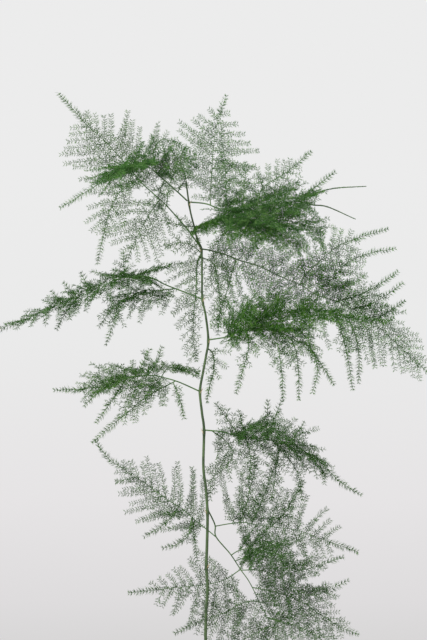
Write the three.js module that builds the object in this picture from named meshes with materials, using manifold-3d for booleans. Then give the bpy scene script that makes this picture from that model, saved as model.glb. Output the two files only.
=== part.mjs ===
// A potted lace fern, Asparagus setaceus: one wiry stem in a plain clay pot, with lateral
// fronds that branch again and again and end in twigs set with hair-like green needles.
// Millimetres, +Z up, origin at the centre of the pot's underside. The stem leans and zigzags
// in the XZ plane. A reader facing +Y sees the side that the plant shows best.

import * as THREE from "three";
import { mergeVertices } from "three/addons/utils/BufferGeometryUtils.js";
import Module from "manifold-3d";

const wasm = await Module();
wasm.setup();

// The pot and its soil.
const POT_HEIGHT = 125;
const POT_RIM_RADIUS = 69;
const POT_FOOT_RADIUS = 48;
const POT_WALL = 5;
const RIM_HEIGHT = 24;
const RIM_STEP = 3;
const FLOOR_THICKNESS = 7;
const DRAIN_HOLES = 4;
const DRAIN_RADIUS = 5;
const DRAIN_CIRCLE = 28;
const SOIL_LEVEL = 112;
const SOIL_BUMPS = 1.2;
const SOIL_RINGS = 6;
const POT_SEGMENTS = 32;
const EDGE_ROUND = 2;
// Bored holes are turned a little, so that no corner of theirs meets one of the pot's.
const BORE_TURN = 0.09;

// The stem.
const STEM_FOOT = 78;
const STEM_TOP = 619;
const STEM_BASE_RADIUS = 1.6;
const STEM_TOP_RADIUS = 0.6;
const STEM_TAPER = 1.6;
const STEM_SIDES = 8;
const STEM_BANDS = 32;
const SCALE_RADIUS = 0.9;
const SCALE_REACH = 2.2;

// Rachises, pinnae, twigs and needles.
const RACHIS_RADIUS = 0.8;
const BRANCH_RADIUS = 0.6;
const PINNA_RADIUS = 0.45;
const TIP_RADIUS = 0.25;
const NEEDLE_LENGTH = 4.8;
const NEEDLE_ROOT = 0.8;
const PINNA_PITCH = 8.8;
const PINNA_LEANS = [62, 62];
const TIP_LEAN_EASE = 0.3;
const LEAN_SPREAD = 16;
const REACH_SPREAD = 0.3;
const PINNA_CURL = 0.14;
const PINNA_SAG = 0.07;
const RUFFLE = 0.5;
const LACE = [0.24, 0.24];
const CLEAR_STEPS = 8;
const LEAST_CLEAR = 0.35;
const SPIKE_SHARES = [1, 0.7, 0.45];
const TWIG_LEAN = THREE.MathUtils.degToRad(50);
const PLAIN_REACH = 16;
const BAND_PITCH = 30;
const RACHIS_PITCH = 20;
const TAIL_PITCH = 22;
const BAND_SPACING = 2.4;
const JOINT_ROOM = 2.5;
const PLACED_STEP = 6;
const NEAREST_STEPS = 200;
const LEAST_SPIKE = 0.6 * NEEDLE_LENGTH;

// Clearance between neighbouring pieces.
const GAP = 0.3;

const UP = new THREE.Vector3(0, 0, 1);
const FACING = [0, -1, 0];

// The stem's centre line, from inside the soil to the top.
const STEM_ROUTE = [
  [0, 0, STEM_FOOT], [0, 0, SOIL_LEVEL], [-0.4, 0, 160], [0, 0, 186], [1.5, 0, 213], [0.4, 0, 233],
  [1, 0, 256], [1.5, 0, 284], [0, 0, 311], [-2.6, 0, 333], [-2, 0, 370], [-4, 0, 387], [-6, 0, 408.5],
  [-3, 0, 427.5], [0, 0, 444], [2.3, 0, 460], [-0.4, 0, 485], [-3.7, 0, 501], [-4, 0, 523],
  [-4.5, 0, 550], [-8.6, 0, 560], [-12, 0, 574], [-15.4, 0, 587.5], [-17.3, 0, 598.5],
  [-20, 0, STEM_TOP],
];

// Each frond is a list of sprays. A spray has a route, the way its blade faces, the stretch of
// the route that bears pinnae, and the reach of the pinnae on its left and right at the start,
// middle and end of that stretch. Some have their own lean of the left and right pinnae from
// the route in degrees, lace (how long the twigs of the left and right pinnae are, as a share
// of their pinna), ruffle (how far the pinnae stray out of the blade), and tail (how long the
// needles of the tail are, as a share of the others).
const FRONDS = {
  frond_top: [
    { route: [[-20, 0, STEM_TOP + GAP], [-22, 2, 628], [-28, 4, 640], [-36, 5, 652]],
      leafy: [0.05, 0.75], left: [16, 20, 6], right: [22, 18, 6] },
  ],
  frond_upper_left: [
    { route: [[-18, 0, 598.5], [-33, -6, 612], [-46, -14, 623], [-58, -28, 632], [-72, -50, 632],
      [-89, -76, 624], [-105, -100, 612]], face: [-0.36, 0.1, 0.93], leafy: [0.22, 0.85],
      left: [40, 56, 26], right: [40, 42, 16], lace: [0.3, 0.3], ruffle: 1 },
    { route: [[-45, -13, 622], [-36, -30, 633], [-24, -40, 640], [-14, -46, 637]], leafy: [0, 0.9],
      left: [18, 22, 8], right: [20, 24, 8], lace: [0.4, 0.4] },
    { route: [[-70, -46, 636], [-91, -52, 622], [-112, -56, 608], [-141, -60, 590]], leafy: [0, 0.35],
      left: [8, 8, 4], right: [10, 8, 4] },
    { route: [[-50, -16, 626], [-52, -22, 645], [-44, -28, 658], [-30, -32, 655], [-11, -34, 645]],
      leafy: [0.1, 0.75], left: [12, 10, 4], right: [10, 10, 4] },
    { route: [[-41, -12, 619], [-45, -9, 611], [-47, -6, 602], [-46, -3, 592]], leafy: [0.05, 0.9],
      left: [12, 12, 5], right: [14, 14, 5] },
    { route: [[-28, -4, 608], [-22, -10, 618], [-15, -14, 626], [-10, -16, 634]], leafy: [0.1, 0.9],
      left: [12, 12, 4], right: [10, 12, 4] },
  ],
  frond_left_crest: [
    { route: [[-5, 0, 552], [-18, 4, 570], [-29, 6, 583], [-43, 8, 598], [-64, 10, 617],
      [-73, 10, 628], [-90, 8, 647], [-102, 6, 660], [-120, 2, 676], [-134, -2, 692], [-148, -4, 707]],
      face: [0, -1, 0.2], leafy: [0.42, 0.82], left: [40, 56, 8], right: [42, 38, 8],
      lace: [0.16, 0.2] },
    { route: [[-46, 9, 601], [-56, 13, 588], [-66, 15, 570], [-75, 15, 552], [-79, 14, 540]],
      leafy: [0, 0.8], left: [36, 38, 14], right: [34, 38, 12], lace: [0.22, 0.22] },
    { route: [[-68, 10, 621], [-84, 15, 612], [-95, 17, 595], [-102, 17, 572], [-109, 15, 538]],
      leafy: [0.1, 0.66], left: [16, 22, 6], right: [24, 28, 8] },
    { route: [[-39, 8, 595], [-38, 12, 609], [-35, 16, 622], [-29, 18, 636]], leafy: [0.2, 0.8],
      left: [14, 14, 5], right: [14, 16, 5] },
  ],
  frond_upper_right: [
    { route: [[-17, 0, 598], [0, -5, 596], [17, -12, 590.5], [44, -20, 594], [74, -28, 599],
      [94, -34, 601], [124, -42, 609], [157, -48, 611]], face: [0, -0.6, 0.8], leafy: [0.14, 0.72],
      left: [28, 40, 12], right: [44, 66, 16], lace: [0.4, 0.4], ruffle: 0.9, tail: 0.45 },
    { route: [[5, -7, 594.5], [4, -2, 605], [5, 2, 615], [6, 4, 630], [6.5, 4, 643], [8, 3, 657],
      [10, 2, 670], [13, 0, 685], [20, -2, 703]], leafy: [0.05, 0.85], left: [14, 46, 8],
      right: [18, 46, 8], lean: [76, 102] },
    { route: [[19, -13, 591], [20, -12, 612], [19, -10, 630], [16, -8, 646]], leafy: [0, 0.85],
      left: [18, 18, 6], right: [16, 20, 6] },
    { route: [[36, -18, 593], [38, -18, 610], [39, -16, 628], [39, -14, 636]], leafy: [0, 0.8],
      left: [20, 20, 6], right: [24, 22, 6] },
    { route: [[51, -22, 595], [56, -20, 611], [74, -16, 623], [81.5, -14, 628], [104, -10, 647]],
      leafy: [0.1, 0.72], left: [22, 18, 6], right: [24, 20, 6] },
    { route: [[94, -34, 601], [108, -38, 611], [126, -40, 625]], leafy: [0, 0.3], left: [5, 4, 3],
      right: [5, 4, 3] },
    { route: [[92, -33, 600], [104, -30, 594], [120, -26, 592], [148, -22, 580]], leafy: [0, 0.2],
      left: [6, 4, 3], right: [6, 4, 3], tail: 0.45 },
    { route: [[17, -12, 590], [40, -26, 584], [70, -36, 580], [96, -42, 574], [116, -46, 566]],
      face: [0, -0.7, 0.7], leafy: [0.05, 0.95], left: [26, 40, 20], right: [40, 46, 24],
      lace: [0.4, 0.4], ruffle: 0.9 },
  ],
  frond_right_ledge: [
    { route: [[-11, 0, 572], [5, -18, 578], [25, -32, 576], [48, -44, 570], [72, -52, 560],
      [98, -56, 552]], face: [0, -0.5, 0.85], leafy: [0, 0.92], left: [22, 34, 14],
      right: [26, 38, 18], lace: [0.4, 0.4] },
    { route: [[-9, -6, 573], [-20, -12, 573], [-32, -14, 576], [-43, -16, 579]], leafy: [0.05, 0.8],
      left: [14, 11, 4], right: [14, 13, 5], lace: [0.34, 0.34] },
  ],
  frond_right_sweep: [
    { route: [[-4, 1, 551], [4, 12, 550], [20, 24, 546], [34, 32, 540.5], [53, 40, 535], [77, 48, 524],
      [99, 54, 514.5], [112, 58, 506], [131, 60, 500], [151, 62, 491], [171, 64, 478], [192, 64, 459],
      [210, 63, 442], [228, 62, 426]], leafy: [0.04, 0.95], left: [36, 46, 14], right: [44, 58, 14],
      lace: [0.28, 0.28] },
    { route: [[99, 54, 515], [99, 56, 523], [116, 60, 540], [134, 62, 555], [152, 62, 563],
      [185, 58, 573]], leafy: [0.1, 0.68], left: [30, 28, 6], right: [28, 26, 6] },
    { route: [[110, 58, 507], [129, 62, 522], [144, 64, 538], [166, 64, 548], [193, 60, 553]],
      leafy: [0.1, 0.65], left: [20, 18, 5], right: [24, 22, 5] },
    { route: [[134, 60, 499], [152, 62, 504], [172, 62, 513], [196, 60, 529]], leafy: [0, 0.62],
      left: [18, 14, 4], right: [18, 14, 4] },
    { route: [[150, 62, 492], [168, 63, 496], [184, 63, 505], [201, 62, 517]], leafy: [0, 0.6],
      left: [16, 12, 4], right: [16, 12, 4] },
    { route: [[170, 64, 479], [185, 65, 487], [203, 64, 499]], leafy: [0, 0.6], left: [14, 12, 4],
      right: [14, 12, 4] },
    { route: [[30, 30, 541], [24, 28, 520], [17.5, 26, 498], [12, 24, 480]], leafy: [0.6, 0.95],
      left: [10, 12, 6], right: [10, 12, 6] },
  ],
  frond_stem_veil: [
    { route: [[-4.4, 0, 548], [-9, 12, 535], [-10, 14, 510], [-12, 14, 490], [-13, 12, 466],
      [-10, 10, 440]], leafy: [0.05, 0.95], left: [12, 10, 5], right: [30, 22, 10], lace: [0.3, 0.3] },
    { route: [[-5, 6, 544], [8, 12, 536], [12, 13, 515], [14, 13, 490], [12, 12, 466]],
      leafy: [0.1, 0.9], left: [16, 16, 6], right: [16, 14, 6], lace: [0.3, 0.3] },
    { route: [[-4.4, 1, 547], [-14, -8, 554], [-26, -12, 557], [-39, -14, 553]], leafy: [0.05, 0.9],
      left: [12, 12, 6], right: [14, 16, 6], lace: [0.3, 0.3] },
  ],
  frond_right_shelf: [
    { route: [[2, 0, 460], [22, -12, 463.5], [37, -18, 469.5], [69, -26, 469], [90, -32, 459],
      [104, -36, 451], [110, -38, 430], [105, -38, 409]], face: [0, -0.55, 0.85], leafy: [0.12, 0.72],
      left: [56, 46, 12], right: [36, 40, 12], lace: [0.4, 0.4], ruffle: 0.9 },
    { route: [[37, -18, 469.5], [64, -20, 478], [88, -20, 481], [120, -18, 486], [143, -16, 482],
      [173, -12, 479], [186, -10, 482]], face: [0, -0.5, 0.85], leafy: [0.05, 0.8], left: [56, 34, 8],
      right: [40, 34, 8], lace: [0.4, 0.4] },
    { route: [[20, -12, 463.5], [28, -28, 476], [36, -44, 486], [48, -58, 494]],
      face: [-0.2, -0.9, 0.4], leafy: [0.05, 0.9], left: [20, 24, 10], right: [22, 24, 10],
      lace: [0.36, 0.36], ruffle: 0.9 },
    { route: [[37, -18, 470], [22, -22, 476], [6, -24, 475]], leafy: [0.1, 0.6], left: [8, 7, 4],
      right: [8, 7, 4] },
    { route: [[40, -19, 470], [42, -34, 452], [36, -38, 430], [30, -40, 409]], leafy: [0.3, 0.6],
      left: [10, 8, 4], right: [12, 9, 4] },
    { route: [[68, -26, 469], [72, -40, 448], [75, -42, 424], [76, -42, 402]], leafy: [0.3, 0.6],
      left: [12, 9, 4], right: [12, 9, 4] },
    { route: [[84, -30, 462], [90, -24, 445], [92, -22, 424], [92, -22, 402]], leafy: [0.2, 0.5],
      left: [10, 8, 4], right: [10, 8, 4] },
    { route: [[104, -36, 451], [114, -32, 436], [126, -28, 417]], leafy: [0.1, 0.4], left: [6, 5, 3],
      right: [6, 5, 3] },
    { route: [[130, -17, 484], [137, -16, 460], [142, -16, 436], [145.7, -16, 412]],
      leafy: [0.15, 0.5], left: [12, 9, 4], right: [12, 9, 4] },
    { route: [[141, -16, 482], [150, -6, 462], [153, -2, 440], [152.5, -2, 418]], leafy: [0.15, 0.5],
      left: [12, 9, 4], right: [10, 8, 4] },
    { route: [[45, -19, 471], [54, -8, 488], [62, 2, 501], [76, 8, 508]], face: [0, -0.6, 0.8],
      leafy: [0, 0.85], left: [36, 34, 8], right: [34, 30, 8] },
  ],
  frond_stem_tassel: [
    { route: [[1, 0, 452], [7, 8, 446], [8, 11, 430], [4, 11, 415], [1, 9, 399]], leafy: [0.1, 0.6],
      left: [20, 14, 4], right: [18, 12, 4] },
  ],
  frond_left_arch: [
    { route: [[-4, 0, 501], [-27, -6, 510], [-40, -10, 515], [-53, -14, 521.5], [-66, -18, 523.5],
      [-91, -22, 519.6], [-104, -24, 511], [-125, -26, 503], [-150, -28, 494], [-170, -30, 484],
      [-193, -31, 475], [-213, -32, 468]], face: [0, -0.3, 0.95], leafy: [0.26, 0.94],
      left: [36, 32, 14], right: [40, 34, 14], lean: [90, 74], lace: [0.4, 0.4], ruffle: 1 },
    { route: [[-31, -7, 511], [-53, -20, 508], [-75, -28, 502], [-86, -32, 496], [-91, -34, 478],
      [-98, -34, 457]], face: [0, -0.4, 0.9], leafy: [0.05, 0.75], left: [28, 32, 10],
      right: [28, 32, 10], lace: [0.4, 0.4], ruffle: 1 },
    { route: [[-84, -30, 497], [-94, -28, 490], [-105, -24, 474]], leafy: [0, 0.4], left: [5, 4, 3],
      right: [5, 4, 3] },
    { route: [[-72, -19, 523], [-52, -2, 530], [-40, 8, 533], [-25, 18, 538]], face: [0, 0.3, 1],
      leafy: [0.05, 0.7], left: [16, 14, 5], right: [16, 14, 5], lace: [0.3, 0.3] },
    { route: [[-80, -20, 521], [-81, -24, 532], [-82, -26, 545]], leafy: [0.05, 0.75],
      left: [12, 11, 4], right: [12, 11, 4], lace: [0.3, 0.3] },
    { route: [[-126, -26, 502], [-138, -28, 488], [-147, -30, 472]], leafy: [0.1, 0.5],
      left: [7, 5, 3], right: [7, 5, 3] },
  ],
  frond_left_lower: [
    { route: [[-6, 0, 408.5], [-27, -4, 418], [-42, -6, 422.5], [-54, -8, 424.7], [-76, -12, 423],
      [-100, -16, 416], [-120, -20, 412], [-149, -24, 410.5]], face: [0, -0.45, 0.88],
      leafy: [0.26, 0.8], left: [36, 40, 14], right: [40, 44, 14], lean: [76, 66], lace: [0.4, 0.4],
      ruffle: 1 },
    { route: [[-30, -5, 419], [-48, -14, 410], [-64, -20, 400], [-79, -24, 387], [-94, -28, 375],
      [-111, -30, 360]], face: [0, -0.5, 0.85], leafy: [0.1, 0.65], left: [20, 20, 6],
      right: [28, 24, 6] },
    { route: [[-33, -6, 418], [-26, -10, 400], [-22, -12, 383]], leafy: [0.1, 0.5], left: [5, 4, 3],
      right: [5, 4, 3] },
    { route: [[-92, -15, 418], [-108, -18, 407], [-120, -20, 396]], leafy: [0, 0.4], left: [5, 4, 3],
      right: [5, 4, 3] },
    { route: [[-78, -13, 422], [-92, -20, 402], [-108, -22, 379]], leafy: [0.2, 0.6], left: [9, 7, 3],
      right: [9, 7, 3] },
    { route: [[-45, -6, 423], [-38, 8, 432], [-25, 16, 431], [-8, 20, 427]], face: [0, -0.4, 0.9],
      leafy: [0.15, 0.95], left: [18, 20, 8], right: [18, 20, 8], lace: [0.4, 0.4] },
    { route: [[-70, -11, 423], [-62, -13, 438], [-56, -14, 450]], leafy: [0, 0.3], left: [5, 4, 3],
      right: [5, 4, 3] },
    { route: [[-58, -9, 425], [-49, -11, 438], [-44, -12, 452]], leafy: [0, 0.3], left: [5, 4, 3],
      right: [5, 4, 3] },
  ],
  frond_middle_right: [
    { route: [[-2, 0, 370], [16, 4, 368], [30, 6, 364], [48, 8, 362], [64, 8, 359.5], [82, 8, 357],
      [99, 8, 348], [116, 6, 336.5], [133, 4, 319], [154, 2, 305.5]], face: [0, -0.5, 0.87],
      leafy: [0.16, 0.76], left: [30, 36, 10], right: [28, 34, 16], lace: [0.4, 0.4], ruffle: 0.9 },
    { route: [[30, 6, 364], [44, -10, 371], [58, -20, 373], [74, -26, 368], [86, -28, 360]],
      face: [0, -0.7, 0.7], leafy: [0, 0.9], left: [20, 26, 8], right: [20, 22, 8], lace: [0.4, 0.4] },
    { route: [[34, 6, 364], [22, -2, 380], [11, -8, 396]], leafy: [0.05, 0.85], left: [13, 11, 5],
      right: [13, 11, 5], lace: [0.3, 0.3] },
    { route: [[40, 7, 363], [36, 0, 376], [33, -4, 388]], leafy: [0.05, 0.8], left: [10, 9, 4],
      right: [10, 9, 4] },
    { route: [[60, 8, 360], [61, 2, 380], [62, -2, 398]], leafy: [0, 0.7], left: [9, 8, 4],
      right: [9, 8, 4] },
    { route: [[62, 8, 360], [68, 4, 380], [75, 0, 398]], leafy: [0, 0.7], left: [10, 9, 4],
      right: [10, 9, 4] },
    { route: [[84, 8, 357], [90, 6, 366], [98, 2, 377]], leafy: [0, 0.7], left: [9, 8, 4],
      right: [9, 8, 4] },
    { route: [[6, 2, 369], [20, 14, 358], [27, 16, 346], [20, 16, 332], [6, 14, 320], [4, 13, 300]],
      leafy: [0.05, 0.92], left: [16, 16, 5], right: [20, 18, 5], lace: [0.36, 0.36] },
    { route: [[40, 7, 363], [44, 12, 346], [45, 14, 332], [42, 14, 314]], leafy: [0.05, 0.85],
      left: [16, 15, 5], right: [16, 15, 5], lace: [0.36, 0.36] },
    { route: [[66, 8, 359], [82, 12, 342], [92, 14, 326], [97, 14, 300]], leafy: [0.05, 0.8],
      left: [12, 9, 4], right: [12, 9, 4] },
    { route: [[78, 8, 357], [92, 12, 344], [104, 14, 328]], leafy: [0.05, 0.8], left: [12, 11, 4],
      right: [12, 11, 4] },
    { route: [[100, 8, 347], [112, 12, 335], [121, 14, 323]], leafy: [0.05, 0.8], left: [10, 9, 4],
      right: [10, 9, 4] },
    { route: [[76, 8, 358], [72, 18, 340], [69, 20, 316], [66, 20, 296]], leafy: [0.1, 0.9],
      left: [12, 12, 4], right: [12, 12, 4], lace: [0.3, 0.3] },
  ],
  frond_lower_right: [
    { route: [[2, 1, 290], [9, 12, 274], [10, 15, 262], [24.6, 19, 244], [35, 21, 228], [44, 23, 215],
      [56, 25, 191], [64, 25, 175], [70, 25, 160], [78, 25, 145], [84, 25, 132]], leafy: [0.56, 0.96],
      left: [22, 22, 8], right: [22, 22, 8], lace: [0.28, 0.28] },
    { route: [[10, 15, 261.6], [2, 18, 268], [-12, 20, 279], [-22, 20, 288], [-36, 20, 297],
      [-49, 20, 306], [-62.5, 18, 316.5], [-76, 14, 324.5], [-84, 12, 331], [-96, 10, 339],
      [-105, 8, 350], [-110.6, 6, 359.3]], leafy: [0.1, 0.74], left: [34, 36, 8], right: [52, 34, 10],
      lace: [0.26, 0.12], lean: [50, 62] },
    { route: [[-28, 20, 291], [-34, 10, 283], [-44, 2, 274], [-61, -2, 264]], leafy: [0.1, 0.5],
      left: [6, 5, 3], right: [8, 6, 3] },
    { route: [[-14, 20, 281], [-18, 8, 264], [-28, 2, 256], [-42, 0, 252]], leafy: [0.1, 0.6],
      left: [8, 6, 3], right: [8, 6, 3] },
    { route: [[-14, 20, 281], [-12, 17, 262], [-9, 14, 239]], leafy: [0.1, 0.5], left: [6, 5, 3],
      right: [6, 5, 3] },
    { route: [[34.5, 21, 228], [18.4, 20, 218], [-2, 16, 213.4], [-22, 12, 212], [-44, 8, 210],
      [-76.5, 4, 206.7]], leafy: [0.08, 0.76], left: [40, 36, 10], right: [40, 26, 9],
      lace: [0.2, 0.16], lean: [78, 76] },
    { route: [[54, 25, 196], [41, 24, 195.5], [30, 22, 191], [19.6, 20, 185], [-3, 17, 178],
      [-30.5, 12, 165.5]], leafy: [0.08, 0.74], left: [30, 28, 8], right: [28, 26, 8],
      lace: [0.26, 0.2] },
    { route: [[9.8, 13, 273], [24, 16, 275], [39, 18, 276], [48, 18, 274], [79, 20, 270],
      [87, 20, 269], [99, 20, 266], [120, 18, 258], [151.6, 16, 247]], leafy: [0.12, 0.8],
      left: [48, 46, 16], right: [36, 38, 14], lean: [100, 72], lace: [0.16, 0.26] },
    { route: [[34, 17, 275.5], [40, 22, 290], [44, 24, 310], [49, 25, 326], [48, 25, 342]],
      leafy: [0, 0.85], left: [16, 15, 5], right: [16, 15, 5], lace: [0.28, 0.28] },
    { route: [[46, 18, 274], [54, 24, 292], [62, 26, 312], [68, 27, 330], [71, 26, 344]],
      leafy: [0, 0.85], left: [16, 14, 5], right: [18, 15, 5], lace: [0.28, 0.28] },
    { route: [[66, 19, 272], [78, 22, 284], [88, 24, 300], [97, 25, 317]], leafy: [0, 0.8],
      left: [14, 12, 5], right: [14, 12, 5], lace: [0.3, 0.3] },
    { route: [[25, 19, 243], [34, 8, 249], [49, -2, 252], [69, -8, 245], [84, -12, 234],
      [99, -14, 232], [135.5, -14, 244]], face: [0, -0.75, 0.66], leafy: [0.1, 0.8],
      left: [32, 32, 10], right: [26, 30, 10], lean: [76, 72], lace: [0.34, 0.34], ruffle: 0.9 },
    { route: [[29, 20, 237], [42, -4, 244], [56, -24, 250], [70, -34, 250], [82, -40, 242]],
      face: [0, -0.8, 0.6], leafy: [0.2, 0.95], left: [22, 26, 10], right: [22, 26, 10],
      lace: [0.34, 0.34] },
    { route: [[35, 21, 228], [56, 14, 228], [79, 6, 219], [94, 2, 208], [111, 0, 205], [141, -2, 219]],
      face: [0, -0.85, 0.5], leafy: [0.24, 0.8], left: [26, 30, 10], right: [28, 32, 12],
      lace: [0.34, 0.34] },
    { route: [[47, 23, 210], [69, 18, 206], [94, 14, 198], [116, 12, 183], [134, 10, 172],
      [152, 8, 165]], leafy: [0.1, 0.84], left: [22, 26, 10], right: [30, 30, 10], lace: [0.3, 0.3] },
    { route: [[62, 25, 180], [78, 12, 176], [96, 2, 172], [116, -4, 160], [134, -8, 144]],
      face: [0, -0.8, 0.6], leafy: [0.05, 0.85], left: [26, 26, 8], right: [26, 26, 8],
      lace: [0.36, 0.36] },
    { route: [[66, 25, 171], [54, 22, 166], [38, 20, 158], [18, 16, 148], [2, 14, 140]],
      leafy: [0.05, 0.85], left: [28, 26, 8], right: [26, 24, 8], lace: [0.3, 0.3] },
  ],
};

// Repeatable draws between 0 and 1.
function drawsFrom(seed) {
  let state = seed;
  return () => {
    state = (Math.imul(state, 1664525) + 1013904223) >>> 0;
    return state / 2 ** 32;
  };
}

function vectors(route) {
  return route.map(([x, y, z]) => new THREE.Vector3(x, y, z));
}

function curveThrough(points) {
  return new THREE.CatmullRomCurve3(points, false, "catmullrom", 0.5);
}

// A value part of the way along a stretch, from its values at the start, middle and end.
function alongStretch([start, middle, end], share) {
  return share < 0.5
    ? THREE.MathUtils.lerp(start, middle, share * 2)
    : THREE.MathUtils.lerp(middle, end, share * 2 - 1);
}

// A closed solid from its corners and its three-cornered faces, listed anticlockwise from outside.
function solidFrom(points, faces) {
  return new wasm.Manifold(new wasm.Mesh({
    numProp: 3,
    vertProperties: Float32Array.from(points.flatMap((point) => point.toArray())),
    triVerts: Uint32Array.from(faces.flat()),
  }));
}

function meshFrom(name, solid, material) {
  const { vertProperties, triVerts, numProp } = solid.getMesh();
  const positions = [];
  for (let i = 0; i < vertProperties.length; i += numProp) {
    positions.push(vertProperties[i], vertProperties[i + 1], vertProperties[i + 2]);
  }
  let geometry = new THREE.BufferGeometry();
  geometry.setAttribute("position", new THREE.Float32BufferAttribute(positions, 3));
  geometry.setIndex([...triVerts]);
  geometry = mergeVertices(geometry, 1e-3);
  geometry.computeVertexNormals();
  const mesh = new THREE.Mesh(geometry, material);
  mesh.name = name;
  return mesh;
}

// A three.js geometry as a solid: corners merged, and faces without area left out.
function closedSolid(geometry) {
  geometry.deleteAttribute("normal");
  geometry.deleteAttribute("uv");
  const merged = mergeVertices(geometry, 1e-3);
  const index = merged.getIndex().array;
  const faces = [];
  for (let i = 0; i < index.length; i += 3) {
    const face = [index[i], index[i + 1], index[i + 2]];
    if (new Set(face).size === 3) {
      faces.push(...face);
    }
  }
  return new wasm.Manifold(new wasm.Mesh({
    numProp: 3,
    vertProperties: merged.getAttribute("position").array,
    triVerts: Uint32Array.from(faces),
  }));
}

// A geometry turned about the Z axis from a profile of [radius, height] corners that starts
// and ends on the axis, going up the outside.
function turned(profile, segments) {
  const corners = profile.map(([radius, height]) => new THREE.Vector2(radius, height));
  return new THREE.LatheGeometry(corners, segments).rotateX(Math.PI / 2);
}

function uprightRod(radius, bottom, top, segments, x = 0, y = 0) {
  const geometry = new THREE.CylinderGeometry(radius, radius, top - bottom, segments);
  geometry.rotateX(Math.PI / 2).rotateZ(BORE_TURN).translate(x, y, (bottom + top) / 2);
  return closedSolid(geometry);
}

// A round rod along a line of points, with a radius at each.
function rod(points, radii, sides) {
  const corners = [];
  const faces = [];
  const curve = curveThrough(points);
  const reference = new THREE.Vector3(0, -1, 0);
  points.forEach((point, i) => {
    const along = curve.getTangent(i / (points.length - 1));
    const left = reference.clone().cross(along).normalize();
    const out = along.clone().cross(left);
    for (let side = 0; side < sides; side += 1) {
      const angle = (2 * Math.PI * side) / sides;
      corners.push(point.clone()
        .addScaledVector(left, radii[i] * Math.cos(angle))
        .addScaledVector(out, radii[i] * Math.sin(angle)));
    }
  });
  for (let i = 0; i + 1 < points.length; i += 1) {
    for (let side = 0; side < sides; side += 1) {
      const next = (side + 1) % sides;
      const low = i * sides;
      const high = low + sides;
      faces.push([low + side, low + next, high + next], [low + side, high + next, high + side]);
    }
  }
  const last = (points.length - 1) * sides;
  for (let side = 1; side + 1 < sides; side += 1) {
    faces.push([0, side + 1, side], [last, last + side, last + side + 1]);
  }
  return solidFrom(corners, faces);
}

// A plant body grows from a list of rings. Each ring has three corners, at these angles from
// its left towards its outer side, so its faces look right, under and left.
const CORNER_ANGLES = [90, 210, 330].map(THREE.MathUtils.degToRad);
const FACE_ANGLES = [150, 270, 30].map(THREE.MathUtils.degToRad);
const RIGHT = 0;
const LEFT = 2;

function addCorner(body, point) {
  body.points.push(point);
  return body.points.length - 1;
}

function addRing(body, ring) {
  return CORNER_ANGLES.map((angle) => addCorner(body, ring.at.clone()
    .addScaledVector(ring.left, ring.radius * Math.cos(angle))
    .addScaledVector(ring.out, ring.radius * Math.sin(angle))));
}

// Joins a four-cornered panel to the three corners of a shoot's first ring.
function joinPanel(body, panel, corners) {
  const place = (corner) => body.points[corner];
  const edge = place(panel[0]).clone().lerp(place(panel[3]), 0.5);
  const strain = (turn) => edge.distanceTo(place(corners[turn]))
    + place(panel[1]).distanceTo(place(corners[(turn + 1) % 3]))
    + place(panel[2]).distanceTo(place(corners[(turn + 2) % 3]));
  const turn = [0, 1, 2].reduce((best, option) => (strain(option) < strain(best) ? option : best));
  const [a, b, c, d] = panel;
  const [p, q, r] = [0, 1, 2].map((i) => corners[(turn + i) % 3]);
  body.faces.push([a, b, q], [a, q, p], [b, c, r], [b, r, q], [c, d, p], [c, p, r], [d, a, p]);
}

// Grows a shoot from a border of corners through its rings to its tip. A ring may carry more
// shoots, one for each face of the band that ends at it.
function grow(body, border, shoot) {
  let lower = border;
  for (const ring of shoot.rings) {
    const corners = addRing(body, ring);
    if (lower === null) {
      body.faces.push([corners[0], corners[2], corners[1]]);
    } else if (lower.length === 4) {
      joinPanel(body, lower, corners);
    } else {
      for (let side = 0; side < 3; side += 1) {
        const next = (side + 1) % 3;
        const panel = [lower[side], lower[next], corners[next], corners[side]];
        if (ring.shoots?.[side]) {
          grow(body, panel, ring.shoots[side]);
        } else {
          body.faces.push([panel[0], panel[1], panel[2]], [panel[0], panel[2], panel[3]]);
        }
      }
    }
    lower = corners;
  }
  const tip = addCorner(body, shoot.tip);
  lower.forEach((corner, i) => body.faces.push([corner, lower[(i + 1) % lower.length], tip]));
}

function grownSolid(shoot) {
  const body = { points: [], faces: [] };
  grow(body, null, shoot);
  return solidFrom(body.points, body.faces);
}

// The shortest distance between the centre lines of two straight rods.
function lineGap(a, b) {
  const u = a.end.clone().sub(a.start);
  const v = b.end.clone().sub(b.start);
  const w = a.start.clone().sub(b.start);
  const uu = u.dot(u);
  const uv = u.dot(v);
  const vv = v.dot(v);
  const uw = u.dot(w);
  const vw = v.dot(w);
  const spread = uu * vv - uv * uv;
  let s = spread > 1e-9 ? THREE.MathUtils.clamp((uv * vw - vv * uw) / spread, 0, 1) : 0;
  const t = THREE.MathUtils.clamp((uv * s + vw) / vv, 0, 1);
  s = THREE.MathUtils.clamp((uv * t - uw) / uu, 0, 1);
  return w.addScaledVector(u, s).addScaledVector(v, -t).length();
}

// All the rods placed so far, each with the name of the shoot that it belongs to.
const placed = [];

function rodLine(start, end, radius, owner) {
  const middle = start.clone().lerp(end, 0.5);
  return { start, end, radius, owner, middle, half: start.distanceTo(end) / 2 };
}

// Whether a rod clears every rod but its own shoot's and the one that carries it.
function isClear(line, carrier) {
  return placed.every((other) => {
    if (other.owner === line.owner || other.owner === carrier) {
      return true;
    }
    const room = other.radius + line.radius + GAP;
    return line.middle.distanceTo(other.middle) > line.half + other.half + room
      || lineGap(line, other) > room;
  });
}

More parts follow.
